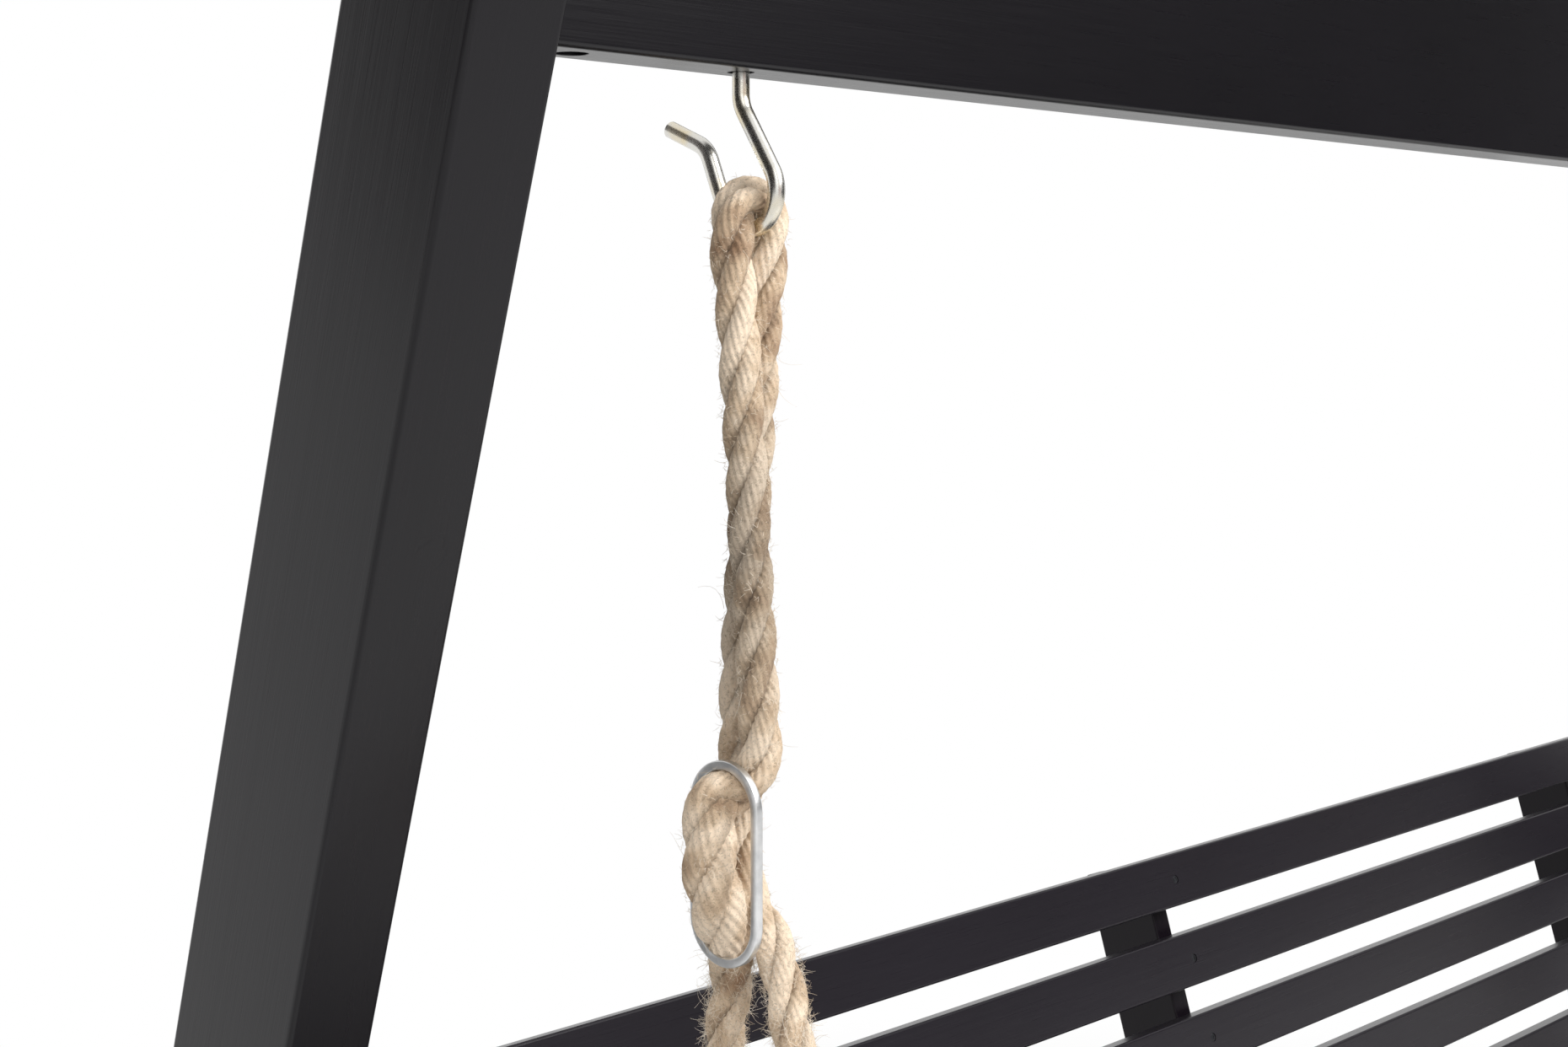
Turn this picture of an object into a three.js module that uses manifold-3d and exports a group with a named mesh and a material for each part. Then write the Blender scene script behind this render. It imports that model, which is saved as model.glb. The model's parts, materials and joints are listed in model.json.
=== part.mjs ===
// A wooden garden swing: a painted timber frame, and a slatted bench that hangs on two ropes
// from steel hooks. Millimetres, +Z up, X along the beam, and the bench's back is at +Y.
import * as THREE from "three";
import { mergeVertices } from "three/addons/utils/BufferGeometryUtils.js";
import Module from "manifold-3d";

const wasm = await Module();
wasm.setup();

// Whole swing
const beamUnderside = 1560; // height of the beam's underside over the ground
const hookSpacing = 1760; // between the two hooks
const hookToLeg = 130.5; // from a hook to the inner face of the leg beside it
const fitGap = 0.3; // between pieces that touch
const cutOverrun = 20; // how far a cutting tool runs past what it cuts
const roundParts = 16; // sides of a bolt or a drilled hole
const arris = 3; // rounding of the frame's edges
const slatArris = 2.2; // rounding of the bench's edges
const arrisSteps = 2;

// Frame timber
const beam = { height: 145, thickness: 34 };
const leg = { width: 48, depth: 90, lean: 17.67, axisBehindBeam: 19.7, riseOverBeam: 6 };
const strut = { meetHeight: 985 }; // where the front leg's centre line meets the rear leg's
const sideRail = { thickness: 34, height: 90, centreHeight: 190, endInset: 8 };
const stretcher = { thickness: 34, height: 90 };

// Hooks and their fixings
const hook = {
  wire: 8,
  hole: 12.7,
  shankBehind: 5.3, // the shank and the beam stand this far behind the bowl's centre
  bowlRadius: 17.5, // to the wire's centre
  bowlDepth: 54.5, // from the beam's underside down to the bowl's centre
  straight: 14.5,
  shankBend: 16,
  throat: { back: 27.9, height: 33.2 }, // where the open end bends out
  throatBend: 15,
  tip: { back: 53.2, height: 22.9 },
  threadOverNut: 4,
  wireSides: 12,
};
const hookNut = { across: 13, height: 6.5, flange: 19, flangeHeight: 1.8 };

// Bolts
const bolt = { size: 10, hole: 10.8, across: 17, head: 6.4, washer: 21, washerThick: 2 };
const beamBolt = { inFromEnd: 28.5, overrun: 10, edge: 42 };
const barrelNut = { size: 14.4, hole: 15, length: 24 };
const strutScrew = { bite: 70 };
const railBolt = { dome: 24, domeHeight: 5, domeSteps: 4, nutAcross: 16, nutHeight: 8 };
const stretcherScrew = { bite: 65 };

// Bench
const back = {
  lean: 17.4,
  topY: 370, // the top slat's upper edge, behind the hooks' bowls
  topDrop: 576, // and below the beam's underside
  slats: 8,
  slatWidth: 45,
  slatThick: 21,
  gap: 24,
  footGap: 45,
};
const seat = { tilt: 4.5, slats: 8, slatWidth: 58, slatThick: 28, gap: 13, rearGap: 22 };
const slatLength = 1640;
const rib = { thick: 22, depth: 62, seatDepth: 45, endInset: 11, topDrop: 5, tail: 12 };
const apron = { thick: 28, inset: 8 }; // a board across the seat ribs' front ends
const bearer = { width: 95, height: 34, pastRope: 45, frontInset: 11, ropeHole: 25, rearY: 158 };
const arm = { width: 80, thick: 28, over: 215, inner: 775, nose: 26, noseRadius: 28, noseParts: 6 };
const armPost = { width: 34, depth: 70, fromSlat: 2, fromFront: 37 };

// Rope and its ring
const rope = { diameter: 19.6, sides: 10, knotWidth: 62, knotHeight: 70, tail: 26 };
const ring = {
  height: 98,
  width: 45,
  wall: 4.4,
  depth: 4.2,
  drop: 366, // its middle, below the beam's underside
  outboard: 16, // its middle, out from the hook's axis
  edge: 0.5,
  arcParts: 10,
};

const rad = THREE.MathUtils.degToRad;
const swing = new THREE.Group();

// Finishes
const paint = new THREE.MeshStandardMaterial({ color: "#2b292a", roughness: 0.55, metalness: 0 });
const zinc = new THREE.MeshStandardMaterial({ color: "#b9b6ac", roughness: 0.25, metalness: 1 });
const blackZinc = new THREE.MeshStandardMaterial({ color: "#3a3a3c", roughness: 0.45, metalness: 0.8 });
const galvanised = new THREE.MeshStandardMaterial({ color: "#a9aaa8", roughness: 0.4, metalness: 1 });
const hemp = new THREE.MeshStandardMaterial({ color: "#bda88c", roughness: 0.95, metalness: 0 });

function place(geometry, name, material, parent = swing, position = [0, 0, 0], turn = [0, 0, 0]) {
  const mesh = new THREE.Mesh(geometry, material.clone());
  mesh.name = name;
  mesh.position.set(...position);
  mesh.rotation.set(...turn);
  parent.add(mesh);
  return mesh;
}

// Solids for cutting and joining
function toSolid(geometry) {
  const bare = geometry.clone();
  for (const name of Object.keys(bare.attributes)) {
    if (name !== "position") bare.deleteAttribute(name);
  }
  const merged = mergeVertices(bare);
  return new wasm.Manifold(
    new wasm.Mesh({
      numProp: 3,
      vertProperties: new Float32Array(merged.attributes.position.array),
      triVerts: new Uint32Array(merged.index.array),
    }),
  );
}

function toGeometry(solid) {
  const mesh = solid.getMesh();
  const geometry = new THREE.BufferGeometry();
  geometry.setAttribute("position", new THREE.BufferAttribute(mesh.vertProperties, 3));
  geometry.setIndex(new THREE.BufferAttribute(mesh.triVerts, 1));
  geometry.computeVertexNormals();
  return geometry;
}

function cut(geometry, tools) {
  let solid = toSolid(geometry);
  for (const tool of tools) solid = solid.subtract(toSolid(tool));
  return toGeometry(solid);
}

function join(geometries) {
  const [first, ...rest] = geometries.map(toSolid);
  return toGeometry(rest.reduce((whole, solid) => whole.add(solid), first));
}

// A round rod along one axis, from one end to the other
function rod(diameter, axis, from, to, sides = roundParts) {
  const geometry = new THREE.CylinderGeometry(diameter / 2, diameter / 2, to - from, sides);
  if (axis === "x") geometry.rotateZ(-Math.PI / 2);
  if (axis === "z") geometry.rotateX(Math.PI / 2);
  const middle = (from + to) / 2;
  const shift = { x: [middle, 0, 0], y: [0, middle, 0], z: [0, 0, middle] };
  return geometry.translate(...shift[axis]);
}

function hexagon(across, axis, from, to) {
  return rod((across * 2) / Math.sqrt(3), axis, from, to, 6);
}

// Turns a form extruded along Z from a flat outline, so that it runs along X, its outline in Y and Z
const alongX = new THREE.Matrix4().makeBasis(
  new THREE.Vector3(0, 1, 0),
  new THREE.Vector3(0, 0, 1),
  new THREE.Vector3(1, 0, 0),
);

// A plate with its outline's edges rounded, lying about Z = 0
function plate(outline, thickness, round, arcParts = roundParts, steps = arrisSteps) {
  return new THREE.ExtrudeGeometry(outline, {
    depth: thickness - 2 * round,
    bevelEnabled: true,
    bevelThickness: round,
    bevelSize: round,
    bevelOffset: -round,
    bevelSegments: steps,
    curveSegments: arcParts,
  }).translate(0, 0, round - thickness / 2);
}

// A board cut to a side outline: points are [y, z], and its thickness runs along X with rounded arrises
function board(points, thickness, round) {
  const outline = new THREE.Shape(points.map(([y, z]) => new THREE.Vector2(y, z)));
  return plate(outline, thickness, round).applyMatrix4(alongX);
}

// A straight length along X with its four long arrises rounded, depth along Y and height along Z
function batten(length, depth, height, round) {
  const section = new THREE.Shape();
  const y = depth / 2;
  const z = height / 2;
  section.moveTo(-y + round, -z);
  section.lineTo(y - round, -z);
  section.absarc(y - round, -z + round, round, -Math.PI / 2, 0);
  section.lineTo(y, z - round);
  section.absarc(y - round, z - round, round, 0, Math.PI / 2);
  section.lineTo(-y + round, z);
  section.absarc(-y + round, z - round, round, Math.PI / 2, Math.PI);
  section.lineTo(-y, -z + round);
  section.absarc(-y + round, -z + round, round, Math.PI, Math.PI * 1.5);
  const geometry = new THREE.ExtrudeGeometry(section, {
    depth: length,
    bevelEnabled: false,
    curveSegments: arrisSteps,
  });
  return geometry.translate(0, 0, -length / 2).applyMatrix4(alongX);
}

// A path that is swept exactly through its stations
class StationPath extends THREE.Curve {
  constructor(stations) {
    super();
    this.stations = stations;
  }
  getUtoTmapping(u) {
    return u;
  }
  getPoint(t) {
    const last = this.stations.length - 1;
    const index = Math.min(Math.floor(t * last), last - 1);
    return this.stations[index].clone().lerp(this.stations[index + 1], t * last - index);
  }
  getTangent(t) {
    const last = this.stations.length - 1;
    const index = Math.round(t * last);
    const before = this.stations[Math.max(index - 1, 0)];
    const here = this.stations[index];
    const after = this.stations[Math.min(index + 1, last)];
    const into = here.clone().sub(before).normalize();
    return into.add(after.clone().sub(here).normalize()).normalize();
  }
}

function sweep(stations, diameter, sides) {
  const section = new THREE.Shape();
  for (let side = 0; side < sides; side++) {
    const angle = (side / sides) * Math.PI * 2;
    const x = (Math.cos(angle) * diameter) / 2;
    const y = (Math.sin(angle) * diameter) / 2;
    if (side === 0) section.moveTo(x, y);
    else section.lineTo(x, y);
  }
  return new THREE.ExtrudeGeometry(section, {
    steps: stations.length - 1,
    bevelEnabled: false,
    extrudePath: new StationPath(stations),
  });
}

// Points that round the corner at b, between a and c, with a bend of the given radius
function bend(a, b, c, radius, parts) {
  const toA = a.clone().sub(b).normalize();
  const toC = c.clone().sub(b).normalize();
  const half = toA.angleTo(toC) / 2;
  const centre = b.clone().add(toA.clone().add(toC).normalize().multiplyScalar(radius / Math.sin(half)));
  const start = b.clone().add(toA.clone().multiplyScalar(radius / Math.tan(half)));
  const axis = toA.clone().cross(toC).normalize();
  const arm = start.sub(centre);
  const sweepAngle = Math.PI - half * 2;
  const points = [];
  for (let part = 0; part <= parts; part++) {
    const angle = (-sweepAngle * part) / parts;
    points.push(centre.clone().add(arm.clone().applyAxisAngle(axis, angle)));
  }
  return points;
}

// Places that several pieces share
const beamTop = beamUnderside + beam.height;
const beamY = hook.shankBehind; // the beam's centre plane; the bench hangs at Y = 0
const legInner = hookSpacing / 2 + hookToLeg;
const legCentre = legInner + leg.width / 2;
const legOuter = legInner + leg.width;
const lean = rad(leg.lean);
const legHalfLevel = leg.depth / 2 / Math.cos(lean); // half the rear leg's depth, measured level
const legAxisY = (z) => beamY + leg.axisBehindBeam + (beamUnderside - z) * Math.tan(lean);
const reach = legAxisY(0) + legHalfLevel; // from the hooks' plane to each foot's outer corner

// The front leg's line: from the foot's front corner to where the centre lines meet
const meet = new THREE.Vector2(legAxisY(strut.meetHeight), strut.meetHeight);
const cornerToMeet = meet.clone().sub(new THREE.Vector2(-reach, 0));
const cornerOffLine = Math.asin(leg.depth / 2 / cornerToMeet.length());
const strutLean = Math.atan2(cornerToMeet.x, cornerToMeet.y) - cornerOffLine;
const strutLevel = leg.depth / Math.cos(strutLean);
const strutFrontY = (z) => -reach + z * Math.tan(strutLean);
const strutRearY = (z) => strutFrontY(z) + strutLevel;
const legFaceY = (z) => legAxisY(z) - (leg.depth / 2 + fitGap) / Math.cos(lean);
const slopes = Math.tan(strutLean) + Math.tan(lean);
const strutTopFront = (legFaceY(0) + reach) / slopes;
const strutTopRear = (legFaceY(0) + reach - strutLevel) / slopes;

const beamBoltHeights = { lower: beamUnderside + beamBolt.edge, upper: beamTop - beamBolt.edge };
const railLow = sideRail.centreHeight - sideRail.height / 2;
const railHigh = sideRail.centreHeight + sideRail.height / 2;
const railFrontBoltY = strutFrontY(sideRail.centreHeight) + strutLevel / 2;
const railRearBoltY = legAxisY(sideRail.centreHeight);

// Hex bolt along X with its washer: the head's underside is at 0, and the shank runs to minus length
function hexBolt(length) {
  return join([
    hexagon(bolt.across, "x", bolt.washerThick - fitGap, bolt.washerThick + bolt.head),
    rod(bolt.washer, "x", 0, bolt.washerThick),
    rod(bolt.size, "x", -length, fitGap),
  ]);
}

// Turns a bolt that is driven along X so that its head is on the outer side
const headOut = (x) => [0, 0, x < 0 ? Math.PI : 0];
const headFace = legOuter + fitGap; // where those heads sit

function throughLeg(y, z) {
  const across = leg.width / 2 + cutOverrun;
  return rod(bolt.hole, "x", -across, across).translate(0, y, z);
}

// Rear leg, from the ground to just over the beam, drilled for its bolts
function makeRearLeg(side, x) {
  const legTop = beamTop + leg.riseOverBeam;
  const blank = board(
    [
      [legAxisY(0) - legHalfLevel, 0],
      [legAxisY(0) + legHalfLevel, 0],
      [legAxisY(legTop) + legHalfLevel, legTop],
      [legAxisY(legTop) - legHalfLevel, legTop],
    ],
    leg.width,
    arris,
  );
  const strutHole = rod(bolt.hole, "y", -leg.depth, leg.depth)
    .rotateX(lean)
    .translate(0, meet.x, meet.y);
  const holes = [
    throughLeg(beamY, beamBoltHeights.lower),
    throughLeg(beamY, beamBoltHeights.upper),
    throughLeg(railRearBoltY, sideRail.centreHeight),
    strutHole,
  ];
  place(cut(blank, holes), `rear_leg_${side}`, paint, swing, [x * legCentre, 0, 0]);
}

// Front leg, butted against the rear leg's front face
function makeFrontLeg(side, x) {
  const blank = board(
    [
      [strutFrontY(0), 0],
      [strutRearY(0), 0],
      [strutRearY(strutTopRear), strutTopRear],
      [strutFrontY(strutTopFront), strutTopFront],
    ],
    leg.width,
    arris,
  );
  const screwReach = leg.depth / 2 + fitGap * 2 + strutScrew.bite;
  const pilot = rod(bolt.hole, "y", -screwReach, 0).rotateX(lean).translate(0, meet.x, meet.y);
  const holes = [pilot, throughLeg(railFrontBoltY, sideRail.centreHeight)];
  place(cut(blank, holes), `front_leg_${side}`, paint, swing, [x * legCentre, 0, 0]);
}

// The coach screw that draws the front leg to the rear one: its head is on the rear leg's back
function makeLegScrew(side, x) {
  const screw = hexBolt(leg.depth + fitGap * 2 + strutScrew.bite)
    .rotateZ(Math.PI / 2)
    .translate(0, leg.depth / 2 + fitGap, 0)
    .rotateX(lean);
  place(screw, `leg_screw_${side}`, blackZinc, swing, [x * legCentre, meet.x, meet.y]);
}

// Side rail between the two legs, lapped on their inner faces
function makeSideRail(side, x) {
  const inset = sideRail.endInset;
  const legRearY = (z) => legAxisY(z) + legHalfLevel;
  const blank = board(
    [
      [strutFrontY(railLow) + inset, railLow],
      [legRearY(railLow) - inset, railLow],
      [legRearY(railHigh) - inset, railHigh],
      [strutFrontY(railHigh) + inset, railHigh],
    ],
    sideRail.thickness,
    arris,
  );
  const holes = [railFrontBoltY, railRearBoltY].map((y) => throughLeg(y, sideRail.centreHeight));
  const railX = legInner - fitGap - sideRail.thickness / 2;
  place(cut(blank, holes), `side_rail_${side}`, paint, swing, [x * railX, 0, 0]);
}

// Dome-headed bolt through the front leg and the side rail, with its washer and nut inside
function makeSideRailBolt(side, x) {
  const domeCurve = new THREE.EllipseCurve(0, 0, railBolt.dome / 2, railBolt.domeHeight, 0, Math.PI / 2);
  const domeProfile = domeCurve.getPoints(railBolt.domeSteps).slice(0, -1);
  const dome = new THREE.LatheGeometry(
    [new THREE.Vector2(0, 0), ...domeProfile, new THREE.Vector2(0, railBolt.domeHeight)],
    roundParts,
  ).rotateZ(-Math.PI / 2);
  const washerFace = -(leg.width + sideRail.thickness + fitGap * 3);
  const washerBack = washerFace - bolt.washerThick;
  const nutBack = washerFace - railBolt.nutHeight;
  const domeBolt = join([
    dome,
    rod(bolt.size, "x", nutBack - bolt.washerThick, fitGap),
    rod(bolt.washer, "x", washerBack, washerFace),
    hexagon(railBolt.nutAcross, "x", nutBack, washerBack + fitGap),
  ]);
  const at = [x * headFace, railFrontBoltY, sideRail.centreHeight];
  place(domeBolt, `side_rail_bolt_${side}`, blackZinc, swing, at, headOut(x));
}

// Screw through the rear leg and the side rail into the stretcher's end
function makeStretcherScrew(side, x) {
  const screw = hexBolt(leg.width + sideRail.thickness + fitGap * 2 + stretcherScrew.bite);
  const at = [x * headFace, railRearBoltY, sideRail.centreHeight];
  place(screw, `stretcher_screw_${side}`, blackZinc, swing, at, headOut(x));
}

// Two bolts into each end of the beam, each held by a barrel nut let in from the beam's edge
function makeBeamBolts(side, x) {
  const length = leg.width + fitGap * 2 + beamBolt.inFromEnd + beamBolt.overrun;
  const nutX = legInner - fitGap - beamBolt.inFromEnd;
  const nutHalf = barrelNut.length / 2;
  for (const [level, z] of Object.entries(beamBoltHeights)) {
    const name = `beam_bolt_${side}_${level}`;
    place(hexBolt(length), name, blackZinc, swing, [x * headFace, beamY, z], headOut(x));
    const nut = cut(rod(barrelNut.size, "z", -nutHalf, nutHalf), [
      rod(bolt.hole, "x", -barrelNut.size, barrelNut.size),
    ]);
    place(nut, `barrel_nut_${side}_${level}`, zinc, swing, [x * nutX, beamY, z]);
  }
}

// Top beam, with its holes for the hooks, the end bolts and the barrel nuts
function makeBeam() {
  const length = (legInner - fitGap) * 2;
  const half = beam.height / 2;
  const edge = half - beamBolt.edge;
  const tools = [];
  for (const x of [-1, 1]) {
    const hookHole = rod(hook.hole, "z", -half - cutOverrun, half + cutOverrun);
    tools.push(hookHole.translate((x * hookSpacing) / 2, 0, 0));
    for (const up of [-1, 1]) {
      const depth = beamBolt.edge + barrelNut.length / 2 + fitGap;
      const nutX = x * (length / 2 - beamBolt.inFromEnd);
      const from = up * (half + cutOverrun);
      const to = up * (half - depth);
      tools.push(rod(barrelNut.hole, "z", Math.min(from, to), Math.max(from, to)).translate(nutX, 0, 0));
      const boltDepth = beamBolt.inFromEnd + beamBolt.overrun + fitGap * 2;
      const hole = rod(bolt.hole, "x", -boltDepth, cutOverrun);
      if (x < 0) hole.rotateZ(Math.PI);
      tools.push(hole.translate((x * length) / 2, 0, up * edge));
    }
  }
  const blank = batten(length, beam.thickness, beam.height, arris);
  place(cut(blank, tools), "top_beam", paint, swing, [0, beamY, beamUnderside + half]);
}

// Low rear stretcher, between the side rails, leaning with the rear legs
function makeStretcher() {
  const length = (legInner - sideRail.thickness - fitGap * 2) * 2;
  const depth = stretcherScrew.bite + fitGap;
  const tools = [-1, 1].map((x) => {
    const hole = rod(bolt.hole, "x", -depth, cutOverrun);
    if (x < 0) hole.rotateZ(Math.PI);
    return hole.translate((x * length) / 2, 0, 0);
  });
  place(
    cut(batten(length, stretcher.thickness, stretcher.height, arris), tools),
    "rear_stretcher",
    paint,
    swing,
    [0, railRearBoltY, sideRail.centreHeight],
    [lean, 0, 0],
  );
}

// Open hook of bent wire in the Y-Z plane: its threaded shank goes up through the beam
function makeHook(side, x) {
  const at = (y, z) => new THREE.Vector3(0, y, z);
  const bowl = hook.bowlRadius;
  const centre = -hook.bowlDepth;
  const top = beam.height + hookNut.height + fitGap + hook.threadOverNut;
  const bowlSteps = 14;
  const bendSteps = 5;

  // The bowl runs from where the shank's slant touches it to where the throat's does
  const shankCorner = at(hook.shankBehind, -hook.straight);
  const throatCorner = at(hook.throat.back, -hook.throat.height);
  const touch = (corner, handed) => {
    const away = at(corner.y, corner.z - centre);
    const along = Math.atan2(away.z, away.y);
    return along + handed * Math.acos(bowl / away.length());
  };
  const from = touch(shankCorner, 1);
  const to = touch(throatCorner, -1) + Math.PI * 2;
  const arc = [];
  for (let step = 0; step <= bowlSteps; step++) {
    const angle = from + ((to - from) * step) / bowlSteps;
    arc.push(at(Math.cos(angle) * bowl, centre + Math.sin(angle) * bowl));
  }
  const shankTop = at(hook.shankBehind, top);
  const tip = at(hook.tip.back, -hook.tip.height);
  const stations = [
    shankTop,
    ...bend(shankTop, shankCorner, arc[0], hook.shankBend, bendSteps),
    ...arc,
    ...bend(arc[bowlSteps], throatCorner, tip, hook.throatBend, bendSteps),
    tip,
  ];
  place(sweep(stations, hook.wire, hook.wireSides), `hook_${side}`, zinc, swing, [
    (x * hookSpacing) / 2,
    0,
    beamUnderside,
  ]);

  const nut = cut(
    join([
      rod(hookNut.flange, "z", 0, hookNut.flangeHeight),
      hexagon(hookNut.across, "z", hookNut.flangeHeight - fitGap, hookNut.height),
    ]),
    [rod(hook.wire + fitGap * 2, "z", -cutOverrun, cutOverrun)],
  );
  place(nut, `hook_nut_${side}`, zinc, swing, [(x * hookSpacing) / 2, beamY, beamTop + fitGap]);
}

// The bench stands in two turned groups that share the line where the seat's top meets the back's face
const slatPitch = back.slatWidth + back.gap;
const backHeight = back.slats * slatPitch - back.gap + back.footGap;
const backLean = rad(back.lean);
const seatTilt = rad(seat.tilt);
const corner = {
  y: back.topY - backHeight * Math.sin(backLean),
  z: beamUnderside - back.topDrop - backHeight * Math.cos(backLean),
};
const openAngle = backLean - seatTilt; // from square, between the seat and the back
const backGroup = new THREE.Group();
backGroup.position.set(0, corner.y, corner.z);
backGroup.rotation.x = -backLean;
const seatGroup = new THREE.Group();
seatGroup.position.set(0, corner.y, corner.z);
seatGroup.rotation.x = -seatTilt;
swing.add(backGroup, seatGroup);

const seatPitch = seat.slatWidth + seat.gap;
const seatDepth = seat.rearGap + seat.slats * seatPitch - seat.gap;
const ribTop = -seat.slatThick - fitGap; // the seat rib's top edge in the seat's own height
const ribBottom = ribTop - rib.seatDepth;
const bearerTop = ribBottom - fitGap;
const backRibFront = back.slatThick + fitGap;
const backRibBack = backRibFront + rib.depth;
const ribPlaces = { left: -1, centre: 0, right: 1 };
const ribX = slatLength / 2 - rib.endInset - rib.thick / 2;

// A point of the back's frame, written in the seat's frame
function backInSeat(y, z) {
  const turn = new THREE.Vector2(y, z).rotateAround(new THREE.Vector2(), -openAngle);
  return [turn.x, turn.y];
}
// Height in the back's frame at which a line across it meets the seat's level z
function backHeightAt(y, z) {
  return (z + y * Math.sin(openAngle)) / Math.cos(openAngle);
}

function makeBack() {
  for (let slat = 0; slat < back.slats; slat++) {
    const z = backHeight - back.slatWidth / 2 - slat * slatPitch;
    place(
      batten(slatLength, back.slatThick, back.slatWidth, slatArris),
      `back_slat_${slat + 1}`,
      paint,
      backGroup,
      [0, back.slatThick / 2, z],
    );
  }
  const foot = ribTop + fitGap;
  for (const [name, x] of Object.entries(ribPlaces)) {
    place(
      board(
        [
          [backRibFront, backHeightAt(backRibFront, foot)],
          [backRibBack, backHeightAt(backRibBack, foot)],
          [backRibBack, backHeight - rib.topDrop],
          [backRibFront, backHeight - rib.topDrop],
        ],
        rib.thick,
        slatArris,
      ),
      `back_rib_${name}`,
      paint,
      backGroup,
      [x * ribX, 0, 0],
    );
  }
}

function makeSeat() {
  for (let slat = 0; slat < seat.slats; slat++) {
    const y = slat * seatPitch + seat.slatWidth / 2 - seatDepth;
    place(
      batten(slatLength, seat.slatWidth, seat.slatThick, slatArris),
      `seat_slat_${slat + 1}`,
      paint,
      seatGroup,
      [0, y, -seat.slatThick / 2],
    );
  }
  const apronFront = apron.inset - seatDepth;
  place(
    batten(slatLength, apron.thick, rib.seatDepth, slatArris),
    "front_apron",
    paint,
    seatGroup,
    [0, apronFront + apron.thick / 2, (ribTop + ribBottom) / 2],
  );
  const ribFront = apronFront + apron.thick + fitGap;
  const ribBack = backInSeat(backRibBack, backHeightAt(backRibBack, ribTop))[0] + rib.tail;
  for (const [name, x] of Object.entries(ribPlaces)) {
    place(
      board(
        [
          [ribFront, ribBottom],
          [ribBack, ribBottom],
          [ribBack, ribTop],
          [ribFront, ribTop],
        ],
        rib.thick,
        slatArris,
      ),
      `seat_rib_${name}`,
      paint,
      seatGroup,
      [x * ribX, 0, 0],
    );
  }
}

// Two bearers across under the seat, drilled near each end for the rope
const bearerLength = hookSpacing + bearer.pastRope * 2;
const bearerY = {
  front: bearer.frontInset + bearer.width / 2 - seatDepth,
  rear: (bearer.rearY - corner.y) / Math.cos(seatTilt),
};
function makeBearers() {
  for (const [name, y] of Object.entries(bearerY)) {
    const holes = [-1, 1].map((x) =>
      rod(bearer.ropeHole, "z", -bearer.height, bearer.height, roundParts * 2).translate(
        (x * hookSpacing) / 2,
        0,
        0,
      ),
    );
    place(
      cut(batten(bearerLength, bearer.width, bearer.height, arris), holes),
      `${name}_bearer`,
      paint,
      seatGroup,
      [0, y, bearerTop - bearer.height / 2],
    );
  }
}

// Armrest: a flat board with a rounded nose, on a post at the front, and butted to the back's slats
function makeArm(side, x) {
  const half = arm.width / 2;
  const armLow = arm.over - arm.thick;
  const front = -seatDepth - arm.nose;
  const nose = arm.noseRadius;
  const plan = new THREE.Shape();
  plan.moveTo(-half + nose, front);
  plan.lineTo(half - nose, front);
  plan.absarc(half - nose, front + nose, nose, -Math.PI / 2, 0);
  plan.lineTo(half, arm.over);
  plan.lineTo(-half, arm.over);
  plan.lineTo(-half, front + nose);
  plan.absarc(-half + nose, front + nose, nose, Math.PI, Math.PI * 1.5);
  const top = plate(plan, arm.thick, slatArris, arm.noseParts).translate(0, 0, arm.over - arm.thick / 2);
  const behind = new THREE.BoxGeometry(arm.width + cutOverrun, backHeight, backHeight * 2)
    .translate(0, backHeight / 2 - fitGap, 0)
    .rotateX(-openAngle);
  place(cut(top, [behind]), `armrest_${side}`, paint, seatGroup, [x * (arm.inner + half), 0, 0]);

  const postFoot = bearerTop + fitGap;
  const postTop = armLow - fitGap;
  const postY = bearerY.front - bearer.width / 2 + armPost.fromFront;
  place(
    board(
      [
        [-armPost.depth / 2, postFoot],
        [armPost.depth / 2, postFoot],
        [armPost.depth / 2, postTop],
        [-armPost.depth / 2, postTop],
      ],
      armPost.width,
      slatArris,
    ),
    `arm_post_${side}`,
    paint,
    seatGroup,
    [x * (slatLength / 2 + armPost.fromSlat + armPost.width / 2), postY, 0],
  );
}

// Oval ring of flat bar that gathers the two runs of a rope
function makeRing(side, x) {
  const oval = (path, width, height) => {
    const r = width / 2;
    const straight = height / 2 - r;
    path.moveTo(r, -straight);
    path.lineTo(r, straight);
    path.absarc(0, straight, r, 0, Math.PI);
    path.lineTo(-r, -straight);
    path.absarc(0, -straight, r, Math.PI, Math.PI * 2);
    return path;
  };
  const outline = oval(new THREE.Shape(), ring.width, ring.height);
  outline.holes.push(oval(new THREE.Path(), ring.width - ring.wall * 2, ring.height - ring.wall * 2));
  const bar = plate(outline, ring.depth, ring.edge, ring.arcParts, 1).applyMatrix4(alongX);
  place(bar, `rope_ring_${side}`, galvanised, swing, [
    x * (hookSpacing / 2 + ring.outboard),
    0,
    beamUnderside - ring.drop,
  ]);
}

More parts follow.
